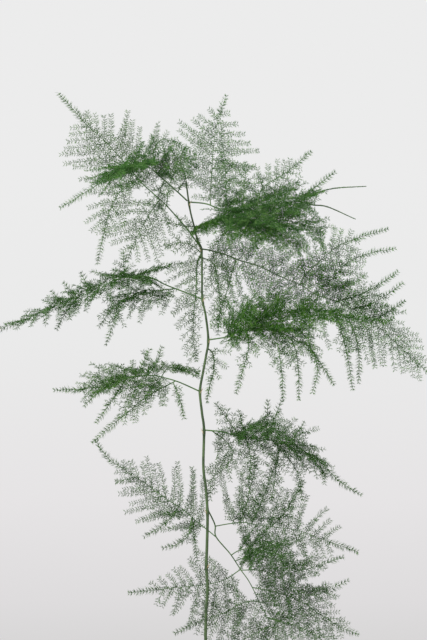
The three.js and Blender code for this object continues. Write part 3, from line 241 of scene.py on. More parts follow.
FRONDS = {
  "frond_top": [
    sprig([[-20, 0, STEM_TOP + GAP], [-22, 2, 628], [-28, 4, 640], [-36, 5, 652]], [0.05, 0.75],
      [16, 20, 6], [22, 18, 6]),
  ],
  "frond_upper_left": [
    sprig([[-18, 0, 598.5], [-33, -6, 612], [-46, -14, 623], [-58, -28, 632], [-72, -50, 632],
      [-89, -76, 624], [-105, -100, 612]], [0.22, 0.85], [40, 56, 26], [40, 42, 16],
      face=[-0.36, 0.1, 0.93], lace=0.3, ruffle=1),
    sprig([[-45, -13, 622], [-36, -30, 633], [-24, -40, 640], [-14, -46, 637]], [0, 0.9], [18, 22, 8],
      [20, 24, 8], lace=0.4),
    sprig([[-70, -46, 636], [-91, -52, 622], [-112, -56, 608], [-141, -60, 590]], [0, 0.35], [8, 8, 4],
      [10, 8, 4]),
    sprig([[-50, -16, 626], [-52, -22, 645], [-44, -28, 658], [-30, -32, 655], [-11, -34, 645]],
      [0.1, 0.75], [12, 10, 4], [10, 10, 4]),
    sprig([[-41, -12, 619], [-45, -9, 611], [-47, -6, 602], [-46, -3, 592]], [0.05, 0.9], [12, 12, 5],
      [14, 14, 5]),
    sprig([[-28, -4, 608], [-22, -10, 618], [-15, -14, 626], [-10, -16, 634]], [0.1, 0.9], [12, 12, 4],
      [10, 12, 4]),
  ],
  "frond_left_crest": [
    sprig([[-5, 0, 552], [-18, 4, 570], [-29, 6, 583], [-43, 8, 598], [-64, 10, 617], [-73, 10, 628],
      [-90, 8, 647], [-102, 6, 660], [-120, 2, 676], [-134, -2, 692], [-148, -4, 707]], [0.42, 0.82],
      [40, 56, 8], [42, 38, 8], face=[0, -1, 0.2], lace=[0.16, 0.2]),
    sprig([[-46, 9, 601], [-56, 13, 588], [-66, 15, 570], [-75, 15, 552], [-79, 14, 540]], [0, 0.8],
      [36, 38, 14], [34, 38, 12], lace=0.16),
    sprig([[-68, 10, 621], [-84, 15, 612], [-95, 17, 595], [-102, 17, 572], [-109, 15, 538]], [0.1, 0.66],
      [16, 22, 6], [24, 28, 8]),
    sprig([[-39, 8, 595], [-38, 12, 609], [-35, 16, 622], [-29, 18, 636]], [0.2, 0.8], [14, 14, 5],
      [14, 16, 5]),
  ],
  "frond_upper_right": [
    sprig([[-17, 0, 598], [0, -5, 596], [17, -12, 590.5], [44, -20, 594], [74, -28, 599], [94, -34, 601],
      [124, -42, 609], [157, -48, 611]], [0.14, 0.72], [28, 40, 12], [44, 66, 16], face=[0, -0.6, 0.8],
      lace=0.5, ruffle=0.9, tail=0.16),
    sprig([[5, -7, 594.5], [4, -2, 605], [5, 2, 615], [6, 4, 630], [6.5, 4, 643], [8, 3, 657],
      [10, 2, 670], [13, 0, 685], [20, -2, 703]], [0.05, 0.85], [14, 46, 8], [18, 46, 8], lean=[76, 102]),
    sprig([[19, -13, 591], [20, -12, 612], [19, -10, 630], [16, -8, 646]], [0, 0.85], [18, 18, 6],
      [16, 20, 6]),
    sprig([[36, -18, 593], [38, -18, 610], [39, -16, 628], [39, -14, 636]], [0, 0.8], [20, 20, 6],
      [24, 22, 6]),
    sprig([[51, -22, 595], [56, -20, 611], [74, -16, 623], [81.5, -14, 628], [104, -10, 647]],
      [0.1, 0.72], [22, 18, 6], [24, 20, 6]),
    sprig([[94, -34, 601], [108, -38, 611], [126, -40, 625]], [0, 0.3], [5, 4, 3]),
    sprig([[92, -33, 600], [104, -30, 594], [120, -26, 592], [148, -22, 580]], [0, 0.2], [6, 4, 3],
      tail=0.16),
    sprig([[17, -12, 590], [40, -26, 584], [70, -36, 580], [96, -42, 574], [116, -46, 566]], [0.05, 0.95],
      [26, 40, 20], [40, 46, 24], face=[0, -0.7, 0.7], lace=0.4, ruffle=0.9),
  ],
  "frond_right_ledge": [
    sprig([[-11, 0, 572], [5, -18, 578], [25, -32, 576], [48, -44, 570], [72, -52, 560], [98, -56, 552]],
      [0, 0.92], [22, 34, 14], [26, 38, 18], face=[0, -0.5, 0.85], lace=0.4),
    sprig([[-9, -6, 573], [-20, -12, 573], [-32, -14, 576], [-43, -16, 579]], [0.05, 0.8], [14, 11, 4],
      [14, 13, 5], lace=0.34),
  ],
  "frond_right_sweep": [
    sprig([[-4, 1, 551], [4, 12, 550], [20, 24, 546], [34, 32, 540.5], [53, 40, 535], [77, 48, 524],
      [99, 54, 514.5], [112, 58, 506], [131, 60, 500], [151, 62, 491], [171, 64, 478], [192, 64, 459],
      [210, 63, 442], [228, 62, 426]], [0.04, 0.95], [36, 46, 14], [44, 58, 14], lace=[0.26, 0.18]),
    sprig([[99, 54, 515], [99, 56, 523], [116, 60, 540], [134, 62, 555], [152, 62, 563], [185, 58, 573]],
      [0.1, 0.68], [30, 28, 6], [28, 26, 6]),
    sprig([[110, 58, 507], [129, 62, 522], [144, 64, 538], [166, 64, 548], [193, 60, 553]], [0.1, 0.65],
      [20, 18, 5], [24, 22, 5]),
    sprig([[134, 60, 499], [152, 62, 504], [172, 62, 513], [196, 60, 529]], [0, 0.62], [18, 14, 4]),
    sprig([[150, 62, 492], [168, 63, 496], [184, 63, 505], [201, 62, 517]], [0, 0.6], [16, 12, 4]),
    sprig([[170, 64, 479], [185, 65, 487], [203, 64, 499]], [0, 0.6], [14, 12, 4]),
    sprig([[30, 30, 541], [24, 28, 520], [17.5, 26, 498], [12, 24, 480]], [0.6, 0.95], [10, 12, 6]),
  ],
  "frond_stem_veil": [
    sprig([[-4.4, 0, 548], [-9, 12, 535], [-10, 14, 510], [-12, 14, 490], [-13, 12, 466], [-10, 10, 440]],
      [0.05, 0.95], [12, 10, 5], [30, 22, 10], lace=[0.22, 0.2]),
    sprig([[-5, 6, 544], [8, 12, 536], [12, 13, 515], [14, 13, 490], [12, 12, 466]], [0.1, 0.9],
      [16, 16, 6], [16, 14, 6], lace=0.3),
    sprig([[-4.4, 1, 547], [-14, -8, 554], [-26, -12, 557], [-39, -14, 553]], [0.05, 0.9], [12, 12, 6],
      [14, 16, 6], lace=0.3),
  ],
  "frond_right_shelf": [
    sprig([[2, 0, 460], [22, -12, 463.5], [37, -18, 469.5], [69, -26, 469], [90, -32, 459],
      [104, -36, 451], [110, -38, 430], [105, -38, 409]], [0.12, 0.72], [56, 46, 12], [36, 40, 12],
      face=[0, -0.55, 0.85], lace=0.4, ruffle=0.9),
    sprig([[37, -18, 469.5], [64, -20, 478], [88, -20, 481], [120, -18, 486], [143, -16, 482],
      [173, -12, 479], [186, -10, 482]], [0.05, 0.8], [56, 34, 8], [40, 34, 8], face=[0, -0.5, 0.85],
      lace=0.4),
    sprig([[20, -12, 463.5], [28, -28, 476], [36, -44, 486], [48, -58, 494]], [0.05, 0.9], [20, 24, 10],
      [22, 24, 10], face=[-0.2, -0.9, 0.4], lace=0.36, ruffle=0.9),
    sprig([[37, -18, 470], [22, -22, 476], [6, -24, 475]], [0.1, 0.6], [8, 7, 4]),
    sprig([[40, -19, 470], [42, -34, 452], [36, -38, 430], [30, -40, 409]], [0.3, 0.6], [10, 8, 4],
      [12, 9, 4]),
    sprig([[68, -26, 469], [72, -40, 448], [75, -42, 424], [76, -42, 402]], [0.3, 0.6], [12, 9, 4]),
    sprig([[84, -30, 462], [90, -24, 445], [92, -22, 424], [92, -22, 402]], [0.2, 0.5], [10, 8, 4]),
    sprig([[104, -36, 451], [114, -32, 436], [126, -28, 417]], [0.1, 0.4], [6, 5, 3]),
    sprig([[130, -17, 484], [137, -16, 460], [142, -16, 436], [145.7, -16, 412]], [0.15, 0.5],
      [12, 9, 4]),
    sprig([[141, -16, 482], [150, -6, 462], [153, -2, 440], [152.5, -2, 418]], [0.15, 0.5], [12, 9, 4],
      [10, 8, 4]),
    sprig([[45, -19, 471], [54, -8, 488], [62, 2, 501], [76, 8, 508]], [0, 0.85], [36, 34, 8],
      [34, 30, 8], face=[0, -0.6, 0.8]),
  ],
  "frond_stem_tassel": [
    sprig([[1, 0, 452], [7, 8, 446], [8, 11, 430], [4, 11, 415], [1, 9, 399]], [0.1, 0.6], [20, 14, 4],
      [18, 12, 4]),
  ],
  "frond_left_arch": [
    sprig([[-4, 0, 501], [-27, -6, 510], [-40, -10, 515], [-53, -14, 521.5], [-66, -18, 523.5],
      [-91, -22, 519.6], [-104, -24, 511], [-125, -26, 503], [-150, -28, 494], [-170, -30, 484],
      [-193, -31, 475], [-213, -32, 468]], [0.26, 0.89], [38, 30, 10], [40, 32, 10], face=[0, -0.3, 0.95],
      lean=[90, 74], lace=0.42, ruffle=0.5),
    sprig([[-31, -7, 511], [-53, -20, 508], [-75, -28, 502], [-86, -32, 496], [-91, -34, 478],
      [-98, -34, 457]], [0.05, 0.75], [28, 32, 10], face=[0, -0.4, 0.9], lace=0.4, ruffle=1),
    sprig([[-84, -30, 497], [-94, -28, 490], [-105, -24, 474]], [0, 0.4], [5, 4, 3]),
    sprig([[-72, -19, 523], [-52, -2, 530], [-40, 8, 533], [-25, 18, 538]], [0.05, 0.7], [16, 14, 5],
      face=[0, 0.3, 1], lace=0.3),
    sprig([[-80, -20, 521], [-81, -24, 532], [-82, -26, 545]], [0.05, 0.75], [12, 11, 4], lace=0.3),
    sprig([[-126, -26, 502], [-138, -28, 488], [-147, -30, 472]], [0.1, 0.5], [7, 5, 3]),
    sprig([[-113, -25, 508], [-119, -26, 517], [-123, -27, 526]], [0, 0.3], [5, 4, 3]),
    sprig([[-127, -26, 502], [-134, -27, 509], [-140, -28, 516]], [0, 0.3], [5, 4, 3]),
    sprig([[-142, -28, 497], [-147, -29, 502], [-152, -30, 508]], [0, 0.3], [4, 3, 3]),
  ],
  "frond_left_lower": [
    sprig([[-6, 0, 408.5], [-27, -4, 418], [-42, -6, 422.5], [-54, -8, 424.7], [-76, -12, 423],
      [-100, -16, 416], [-120, -20, 412], [-149, -24, 410.5]], [0.26, 0.8], [36, 40, 14], [40, 44, 14],
      face=[0, -0.45, 0.88], lean=[76, 66], lace=0.5, ruffle=0.9),
    sprig([[-30, -5, 419], [-48, -14, 410], [-64, -20, 400], [-79, -24, 387], [-94, -28, 375],
      [-111, -30, 360]], [0.1, 0.65], [20, 20, 6], [28, 24, 6], face=[0, -0.5, 0.85]),
    sprig([[-33, -6, 418], [-26, -10, 400], [-22, -12, 383]], [0.1, 0.5], [5, 4, 3]),
    sprig([[-92, -15, 418], [-108, -18, 407], [-120, -20, 396]], [0, 0.4], [5, 4, 3]),
    sprig([[-78, -13, 422], [-92, -20, 402], [-108, -22, 379]], [0.2, 0.6], [9, 7, 3]),
    sprig([[-45, -6, 423], [-38, 8, 432], [-25, 16, 431], [-8, 20, 427]], [0.15, 0.95], [18, 20, 8],
      face=[0, -0.4, 0.9], lace=0.4),
    sprig([[-70, -11, 423], [-62, -13, 438], [-56, -14, 450]], [0, 0.3], [5, 4, 3]),
    sprig([[-58, -9, 425], [-49, -11, 438], [-44, -12, 452]], [0, 0.3], [5, 4, 3]),
  ],
  "frond_middle_right": [
    sprig([[-2, 0, 370], [16, 4, 368], [30, 6, 364], [48, 8, 362], [64, 8, 359.5], [82, 8, 357],
      [99, 8, 348], [116, 6, 336.5], [133, 4, 319], [154, 2, 305.5]], [0.16, 0.76], [30, 36, 10],
      [28, 34, 16], face=[0, -0.5, 0.87], lace=0.4, ruffle=0.9),
    sprig([[30, 6, 364], [44, -10, 371], [58, -20, 373], [74, -26, 368], [86, -28, 360]], [0, 0.9],
      [20, 26, 8], [20, 22, 8], face=[0, -0.7, 0.7], lace=0.4),
    sprig([[34, 6, 364], [22, -2, 380], [11, -8, 396]], [0.05, 0.85], [13, 11, 5], lace=0.3),
    sprig([[40, 7, 363], [36, 0, 376], [33, -4, 388]], [0.05, 0.8], [10, 9, 4]),
    sprig([[60, 8, 360], [61, 2, 380], [62, -2, 398]], [0, 0.7], [9, 8, 4]),
    sprig([[62, 8, 360], [68, 4, 380], [75, 0, 398]], [0, 0.7], [10, 9, 4]),
    sprig([[84, 8, 357], [90, 6, 366], [98, 2, 377]], [0, 0.7], [9, 8, 4]),
    sprig([[6, 2, 369], [20, 14, 358], [27, 16, 346], [20, 16, 332], [6, 14, 320], [4, 13, 300]],
      [0.05, 0.92], [16, 16, 5], [20, 18, 5], lace=0.36),
    sprig([[40, 7, 363], [44, 12, 346], [45, 14, 332], [42, 14, 314]], [0.05, 0.85], [16, 15, 5],
      lace=0.36),
    sprig([[66, 8, 359], [82, 12, 342], [92, 14, 326], [97, 14, 300]], [0.05, 0.8], [12, 9, 4]),
    sprig([[78, 8, 357], [92, 12, 344], [104, 14, 328]], [0.05, 0.8], [12, 11, 4]),
    sprig([[100, 8, 347], [112, 12, 335], [121, 14, 323]], [0.05, 0.8], [10, 9, 4]),
    sprig([[76, 8, 358], [72, 18, 340], [69, 20, 316], [66, 20, 296]], [0.1, 0.9], [12, 12, 4], lace=0.3),
  ],
  "frond_lower_right": [
    sprig([[2, 1, 290], [9, 12, 274], [10, 15, 262], [24.6, 19, 244], [35, 21, 228], [44, 23, 215],
      [56, 25, 191], [64, 25, 175], [70, 25, 160], [78, 25, 145], [84, 25, 132]], [0.56, 0.96],
      [22, 22, 8], lace=0.28),
    sprig([[10, 15, 261.6], [2, 18, 268], [-12, 20, 279], [-22, 20, 288], [-36, 20, 297], [-49, 20, 306],
      [-62.5, 18, 316.5], [-76, 14, 324.5], [-84, 12, 331], [-96, 10, 339], [-105, 8, 350],
      [-110.6, 6, 359.3]], [0.1, 0.74], [34, 36, 8], [52, 34, 10], lace=[0.2, 0.1], lean=[50, 62]),
    sprig([[-28, 20, 291], [-34, 10, 283], [-44, 2, 274], [-61, -2, 264]], [0.1, 0.5], [6, 5, 3],
      [8, 6, 3]),
    sprig([[-14, 20, 281], [-18, 8, 264], [-28, 2, 256], [-42, 0, 252]], [0.1, 0.6], [8, 6, 3]),
    sprig([[-14, 20, 281], [-12, 17, 262], [-9, 14, 239]], [0.1, 0.5], [6, 5, 3]),
    sprig([[34.5, 21, 228], [18.4, 20, 218], [-2, 16, 213.4], [-22, 12, 212], [-44, 8, 210],
      [-76.5, 4, 206.7]], [0.08, 0.76], [40, 36, 10], [40, 26, 9], lace=[0.2, 0.16], lean=[78, 76]),
    sprig([[54, 25, 196], [41, 24, 195.5], [30, 22, 191], [19.6, 20, 185], [-3, 17, 178],
      [-30.5, 12, 165.5]], [0.08, 0.74], [30, 28, 8], [28, 26, 8], lace=[0.26, 0.2]),
    sprig([[9.8, 13, 273], [24, 16, 275], [39, 18, 276], [48, 18, 274], [79, 20, 270], [87, 20, 269],
      [99, 20, 266], [120, 18, 258], [151.6, 16, 247]], [0.12, 0.8], [48, 46, 16], [36, 38, 14],
      lean=[100, 72], lace=[0.16, 0.26]),
    sprig([[34, 17, 275.5], [40, 22, 290], [44, 24, 310], [49, 25, 326], [48, 25, 342]], [0, 0.85],
      [16, 15, 5], lace=0.28),
    sprig([[46, 18, 274], [54, 24, 292], [62, 26, 312], [68, 27, 330], [71, 26, 344]], [0, 0.85],
      [16, 14, 5], [18, 15, 5], lace=0.28),
    sprig([[66, 19, 272], [78, 22, 284], [88, 24, 300], [97, 25, 317]], [0, 0.8], [14, 12, 5], lace=0.3),
    sprig([[25, 19, 243], [34, 8, 249], [49, -2, 252], [69, -8, 245], [84, -12, 234], [99, -14, 232],
      [135.5, -14, 244]], [0.1, 0.8], [32, 32, 10], [26, 30, 10], face=[0, -0.75, 0.66], lean=[76, 72],
      lace=0.34, ruffle=0.9),
    sprig([[29, 20, 237], [42, -4, 244], [56, -24, 250], [70, -34, 250], [82, -40, 242]], [0.2, 0.95],
      [22, 26, 10], face=[0, -0.8, 0.6], lace=0.34),
    sprig([[35, 21, 228], [56, 14, 228], [79, 6, 219], [94, 2, 208], [111, 0, 205], [141, -2, 219]],
      [0.1, 0.8], [26, 30, 10], [28, 32, 12], face=[0, -0.85, 0.5], lace=0.26),
    sprig([[47, 23, 210], [69, 18, 206], [94, 14, 198], [116, 12, 183], [134, 10, 172], [152, 8, 165]],
      [0.03, 0.84], [22, 26, 10], [30, 30, 10], lace=0.2),
    sprig([[62, 25, 180], [78, 12, 176], [96, 2, 172], [116, -4, 160], [134, -8, 144]], [0.05, 0.85],
      [26, 26, 8], face=[0, -0.8, 0.6], lace=0.24),
    sprig([[66, 25, 171], [54, 22, 166], [38, 20, 158], [18, 16, 148], [2, 14, 140]], [0.05, 0.85],
      [28, 26, 8], [26, 24, 8], lace=0.3),
  ],
}


def draws_from(seed):
    """Repeatable draws between 0 and 1, from a linear congruential generator."""
    span = 2**32
    state = seed
    while True:
        state = (state * 1664525 + 1013904223) % span
        yield state / span


def unit(vectors):
    vectors = np.asarray(vectors, float)
    return vectors / np.linalg.norm(vectors, axis=-1, keepdims=True)


class Curve:
    """A smooth curve through points, read by the share of its length."""

    STEPS = 200

    def __init__(self, points):
        points = np.asarray(points, float)
        first = 2 * points[0] - points[1]
        last = 2 * points[-1] - points[-2]
        self.knots = np.vstack([first, points, last])
        self.shares = np.linspace(0, 1, self.STEPS + 1)
        steps = np.linalg.norm(np.diff(self.place(self.shares), axis=0), axis=1)
        self.lengths = np.concatenate([[0], np.cumsum(steps)])
        self.length = self.lengths[-1]

    def place(self, t):
        spans = len(self.knots) - 3
        at = np.clip(np.asarray(t, float), 0, 1) * spans
        i = np.minimum(at.astype(int), spans - 1)
        w = (at - i)[..., None]
        before, here, after, beyond = (self.knots[i + k] for k in range(4))
        leave = 0.5 * (after - before)
        arrive = 0.5 * (beyond - here)
        return (here + leave * w + (3 * (after - here) - 2 * leave - arrive) * w**2
                + (2 * (here - after) + leave + arrive) * w**3)

    def parameter(self, share):
        return np.interp(np.asarray(share, float) * self.length, self.lengths, self.shares)

    def point(self, share):
        return self.place(self.parameter(share))

    def tangent(self, share):
        t = self.parameter(share)
        ahead = self.place(np.minimum(t + TANGENT_STEP, 1))
        return unit(ahead - self.place(np.maximum(t - TANGENT_STEP, 0)))


def blade_at(curve, face, share):
    """Directions along a curve, to the left of its blade and out of its face."""
    along = curve.tangent(share)
    left = unit(np.cross(np.broadcast_to(np.asarray(face, float), along.shape), along))
    return along, left, np.cross(along, left)


def pinnae_of(spray, curve, draw):
    """The pinnae of a spray in alternating pairs, a left one and then a right one."""
    start, end = spray["leafy"]
    count = max(1, math.floor((end - start) * curve.length / PINNA_PITCH + 0.5))
    pinnae = []
    for i in range(count):
        for step, side in PINNA_PAIR:
            along_share = (i + step) / count
            share = start + (end - start) * along_share
            along, left, out = blade_at(curve, spray["face"], share)
            reaches = spray["left"] if side > 0 else spray["right"]
            reach = np.interp(along_share, (0, 0.5, 1), reaches)
            reach *= LEAST_REACH + REACH_SPREAD * next(draw)
            lean = spray["lean"][0 if side > 0 else 1] * (1 - TIP_LEAN_EASE * along_share**2)
            angle = math.radians(lean + LEAN_SPREAD * (next(draw) - 0.5))
            away = unit(along * math.cos(angle) + left * side * math.sin(angle)
                        + out * spray["ruffle"] * (next(draw) - 0.5))
            bend = along * PINNA_CURL - UP * PINNA_SAG
            pinnae.append((curve.point(share), away, bend, out, reach))
    return pinnae


def nearest_share(curve, point):
    shares = np.linspace(0, 1, Curve.STEPS + 1)
    gaps = np.linalg.norm(curve.point(shares) - point, axis=1)
    best = int(np.argmin(gaps))
    return shares[best], gaps[best]


def frond_plan(sprays, seed):
    """Each spray's curve and pinnae. Each later spray starts on the nearest earlier one."""
    draw = draws_from(seed)
    plan = []
    for spray in sprays:
        points = np.array(spray["route"], float)
        if plan:
            nearest = [nearest_share(curve, points[0]) for _, curve, _ in plan]
            carrier = min(range(len(plan)), key=lambda k: nearest[k][1])
            points[0] = plan[carrier][1].point(nearest[carrier][0])
        curve = Curve(points)
        plan.append((spray, curve, pinnae_of(spray, curve, draw)))
    return plan


def wall_faces(low, high, sides):
    """Triangles between two rings of points, given the first point of each."""
    side = np.arange(sides)
    after = (side + 1) % sides
    return [np.stack([low + side, low + after, high + after], 1),
            np.stack([low + side, high + after, high + side], 1)]


class Body:
    """Points and triangles of one piece, gathered in blocks."""

    def __init__(self):
        self.points = []
        self.faces = []
        self.count = 0

    def add(self, points, faces):
        self.points.append(points.reshape(-1, 3))
        self.faces.append(faces.reshape(-1, 3) + self.count)
        self.count += self.points[-1].shape[0]

    def add_copies(self, points, faces):
        """Many blocks of points that all have the same faces."""
        copies, size = points.shape[:2]
        self.add(points, faces[None] + (np.arange(copies) * size)[:, None, None])

    def tubes(self, centres, lefts, outs, radii, sides):
        """Many tubes at once, each drawn to a point past its last ring.
        centres, lefts and outs are (tube, ring, 3), radii are (tube, ring)."""
        tubes, rings = radii.shape
        angles = 2 * np.pi * np.arange(sides) / sides
        ring = (lefts[:, :, None] * np.cos(angles)[:, None]
                + outs[:, :, None] * np.sin(angles)[:, None])
        walls = centres[:, :, None] + ring * radii[:, :, None, None]
        tips = centres[:, -1] + (centres[:, -1] - centres[:, -2]) * TUBE_TIP
        points = np.concatenate([walls.reshape(tubes, -1, 3), tips[:, None]], axis=1)
        side = np.arange(sides)
        after = (side + 1) % sides
        faces = []
        for low in range(0, (rings - 1) * sides, sides):
            faces += wall_faces(low, low + sides, sides)
        top = (rings - 1) * sides
        faces.append(np.stack([top + side, top + after, np.full(sides, rings * sides)], 1))
        faces.append(np.stack([np.zeros(sides - 2, int), side[2:], side[1:-1]], 1))
        self.add_copies(points, np.concatenate(faces))

    def turned(self, profile, segments):
        """A closed body turned about the Z axis. Its profile of (radius, height) starts and
        ends on the axis and goes up the outside."""
        profile = np.asarray(profile, float)
        angles = 2 * np.pi * np.arange(segments) / segments
        rings = profile[1:-1, 0][:, None, None] * np.stack([np.cos(angles), np.sin(angles)], 1)
        heights = np.broadcast_to(profile[1:-1, 1][:, None, None], (*rings.shape[:2], 1))
        walls = np.concatenate([rings, heights], 2).reshape(-1, 3)
        points = np.vstack([walls, (0, 0, profile[0, 1]), (0, 0, profile[-1, 1])])
        side = np.arange(segments)
        after = (side + 1) % segments
        last = len(walls) - segments
        faces = [np.stack([np.full(segments, len(walls)), after, side], 1),
                 np.stack([last + side, last + after, np.full(segments, len(walls) + 1)], 1)]
        for low in range(0, last, segments):
            faces += wall_faces(low, low + segments, segments)
        self.add(points, np.concatenate(faces))

    def lumps(self, places, sizes, rng):
        """Small crumbs, each a rough twenty-faced lump."""
        golden = (1 + 5**0.5) / 2
        corners = unit([
            (-1, golden, 0), (1, golden, 0), (-1, -golden, 0), (1, -golden, 0), (0, -1, golden),
            (0, 1, golden), (0, -1, -golden), (0, 1, -golden), (golden, 0, -1), (golden, 0, 1),
            (-golden, 0, -1), (-golden, 0, 1)])
        faces = np.array([
            (0, 11, 5), (0, 5, 1), (0, 1, 7), (0, 7, 10), (0, 10, 11), (1, 5, 9), (5, 11, 4),
            (11, 10, 2), (10, 7, 6), (7, 1, 8), (3, 9, 4), (3, 4, 2), (3, 2, 6), (3, 6, 8),
            (3, 8, 9), (4, 9, 5), (2, 4, 11), (6, 2, 10), (8, 6, 7), (9, 8, 1)])
        stretch = rng.uniform(*CRUMB_STRETCH, (len(places), 1, 3))
        rough = corners * rng.uniform(*CRUMB_ROUGHNESS, (len(places), len(corners), 1)) * stretch
        self.add_copies(places[:, None] + rough * sizes[:, None, None], faces)

    def needles(self, roots, directions, lengths, widths):
        """Slim needles, each two long triangles folded along the edge they share. Each is rolled
        by the golden angle from the last, so that some show their width to every side."""
        helper = np.where(np.abs(directions[:, 2:3]) < STEEP, UP, (1.0, 0, 0))
        level = unit(np.cross(helper, directions))
        upright = np.cross(directions, level)
        roll = GOLDEN_ANGLE * np.arange(len(roots))[:, None]
        across = (level * np.cos(roll) + upright * np.sin(roll)) * widths[:, None] / 2
        fold = np.cross(directions, across) * NEEDLE_FOLD
        middle = roots + directions * (lengths * NEEDLE_WIDEST)[:, None] + fold
        tips = roots + directions * lengths[:, None]
        points = np.stack([roots, middle + across, middle - across, tips], axis=1)
        self.add_copies(points, np.array([[0, 1, 3], [0, 3, 2]]))

    def lone_object(self, name):
        points = (np.concatenate(self.points) * MM).tolist()
        mesh = bpy.data.meshes.new(name)
        mesh.from_pydata(points, [], np.concatenate(self.faces).tolist(), shade_flat=False)
        lone = bpy.data.objects.new(name, mesh)
        bpy.context.scene.collection.objects.link(lone)
        return lone

    def piece(self, name, material, slot):
        low, high = (np.array(corner) / MM for corner in cad_box)
        self.points = [np.clip(points, low, high) for points in self.points]
        piece = self.lone_object(name)
        piece.data.materials.append(material)
        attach(piece, "root")
        return piece


def spray_tube(body, spray, curve, radius, start):
    rings = max(LEAST_RINGS, int(curve.length / RACHIS_RING_PITCH))
    shares = np.linspace(start / curve.length, 1, rings)
    _, left, out = blade_at(curve, spray["face"], shares)
    radii = np.interp(shares, (0, 1), (radius, TWIG_RADIUS))
    body.tubes(curve.point(shares)[None], left[None], out[None], radii[None], RACHIS_SIDES)


def pinna_points(pinnae, shares):
    """Points and blade directions of many pinnae at the same shares of their length."""
    roots, aways, bends, outs, reaches = (np.array(column, float) for column in zip(*pinnae))
    s = shares[None, :, None]
    reach = reaches[:, None, None]
    centres = roots[:, None] + aways[:, None] * reach * s + bends[:, None] * reach * s**2
    along = unit(aways[:, None] + 2 * bends[:, None] * s)
    left = unit(np.cross(np.broadcast_to(outs[:, None], along.shape), along))
    return centres, along, left, np.cross(along, left)


def twigs_of(pinnae, lace, rng):
    """Fine twigs on both sides of the pinnae: their roots, directions, blade sides and lengths."""
    rows = []
    for i, pinna in enumerate(pinnae):
        reach = pinna[4]
        count = max(2, int(reach / TWIG_PITCH * 2))
        shares = (np.arange(count) + TWIG_FIRST) / (count + TWIG_LAST)
        shares = shares + rng.uniform(-TWIG_STRAY, TWIG_STRAY, count) / count
        shares = np.clip(shares, *TWIG_STRETCH)
        length = lace[i % 2] * reach * (1 - shares) ** TWIG_TAPER
        length = length * rng.uniform(*TWIG_LENGTHS, count)
        centres, along, left, out = pinna_points([pinna], shares)
        side = np.where(np.arange(count) % 2 == 0, 1.0, -1.0)[:, None]
        lean = TWIG_LEAN + rng.normal(0, TWIG_LEAN_SPREAD, count)[:, None]
        tilt = rng.normal(0, TWIG_TILT_SPREAD, count)[:, None]
        direction = unit(along[0] * np.cos(lean) + left[0] * side * np.sin(lean) + out[0] * tilt)
        long_enough = length > TWIG_SHORTEST
        rows.append([v[long_enough] for v in (centres[0], direction, out[0], length)])
    return [np.concatenate(column) for column in zip(*rows)]


def bristle(body, points, along, across, out, sizes, rng, turns, needle_lean=NEEDLE_LEAN):
    """Bundles of needles round each point of a twig, one for each turn, leaning forward."""
    count, bundles = len(points), len(turns)
    turned = np.asarray(turns) + rng.normal(0, TURN_SPREAD, (count, bundles))
    turned = turned[..., None] + rng.normal(0, FAN_SPREAD, (count, bundles, len(BUNDLE)))
    lean = rng.normal(needle_lean, NEEDLE_LEAN_SPREAD, (count, bundles, 1)) + np.array(BUNDLE)
    sideways = (across[:, None, None] * np.cos(turned)[..., None]
                + out[:, None, None] * np.sin(turned)[..., None])
    direction = along[:, None, None] * np.cos(lean)[..., None] + sideways * np.sin(lean)[..., None]
    lengths = NEEDLE_LENGTH * sizes[:, None, None] * rng.uniform(*NEEDLE_LENGTHS, lean.shape)
    roots = np.broadcast_to(points[:, None, None], direction.shape)
    widths = NEEDLE_WIDTH * rng.uniform(*NEEDLE_WIDTHS, lengths.size)
    body.needles(roots.reshape(-1, 3), direction.reshape(-1, 3), lengths.ravel(), widths)


def bristle_twigs(body, roots, directions, outs, lengths, rng):
    """Whorls along many straight twigs."""
    counts = np.maximum(1, np.round(lengths / TWIG_WHORL_PITCH).astype(int))
    owner = np.repeat(np.arange(len(roots)), counts)
    step = np.concatenate([np.arange(n) for n in counts])
    share = (step + rng.uniform(*TWIG_WHORL_PLACES, len(step))) / counts[owner]
    points = roots[owner] + directions[owner] * (lengths[owner] * share)[:, None]
    across = unit(np.cross(outs[owner], directions[owner]))
    sizes = np.interp(share, *TWIG_NEEDLES)
    bristle(body, points, directions[owner], across, outs[owner], sizes, rng, PAIR)


def bristle_pinna(body, pinna, rng):
    """Whorls along one pinna."""
    count = max(LEAST_WHORLS, round(pinna[4] / WHORL_PITCH))
    shares = np.linspace(FIRST_WHORL, 1, count)
    shares = shares + rng.uniform(-WHORL_STRAY, WHORL_STRAY, count) / count
    shares = np.clip(shares, NEAREST_WHORL, 1)
    centres, along, left, out = pinna_points([pinna], shares)
    sizes = np.interp(shares, *PINNA_NEEDLES) * rng.uniform(*PINNA_WHORL_SIZES, count)
    bristle(body, centres[0], along[0], left[0], out[0], sizes, rng, PAIR)


def bristle_rachis(body, spray, curve, stretch, sizes, pitch, turns, lean, rng):
    """Whorls along a stretch of a spray's own rachis."""
    start, end = stretch
    count = max(LEAST_WHORLS, round((end - start) * curve.length / pitch))
    steps = np.linspace(0, 1, count)
    shares = start + (end - start) * steps
    along, left, out = blade_at(curve, spray["face"], shares)
    sizes = np.interp(steps, (0, 0.5, 1), sizes)
    sizes = sizes * rng.uniform(*RACHIS_WHORL_SIZES, count)
    bristle(body, curve.point(shares), along, left, out, sizes, rng, turns, lean)


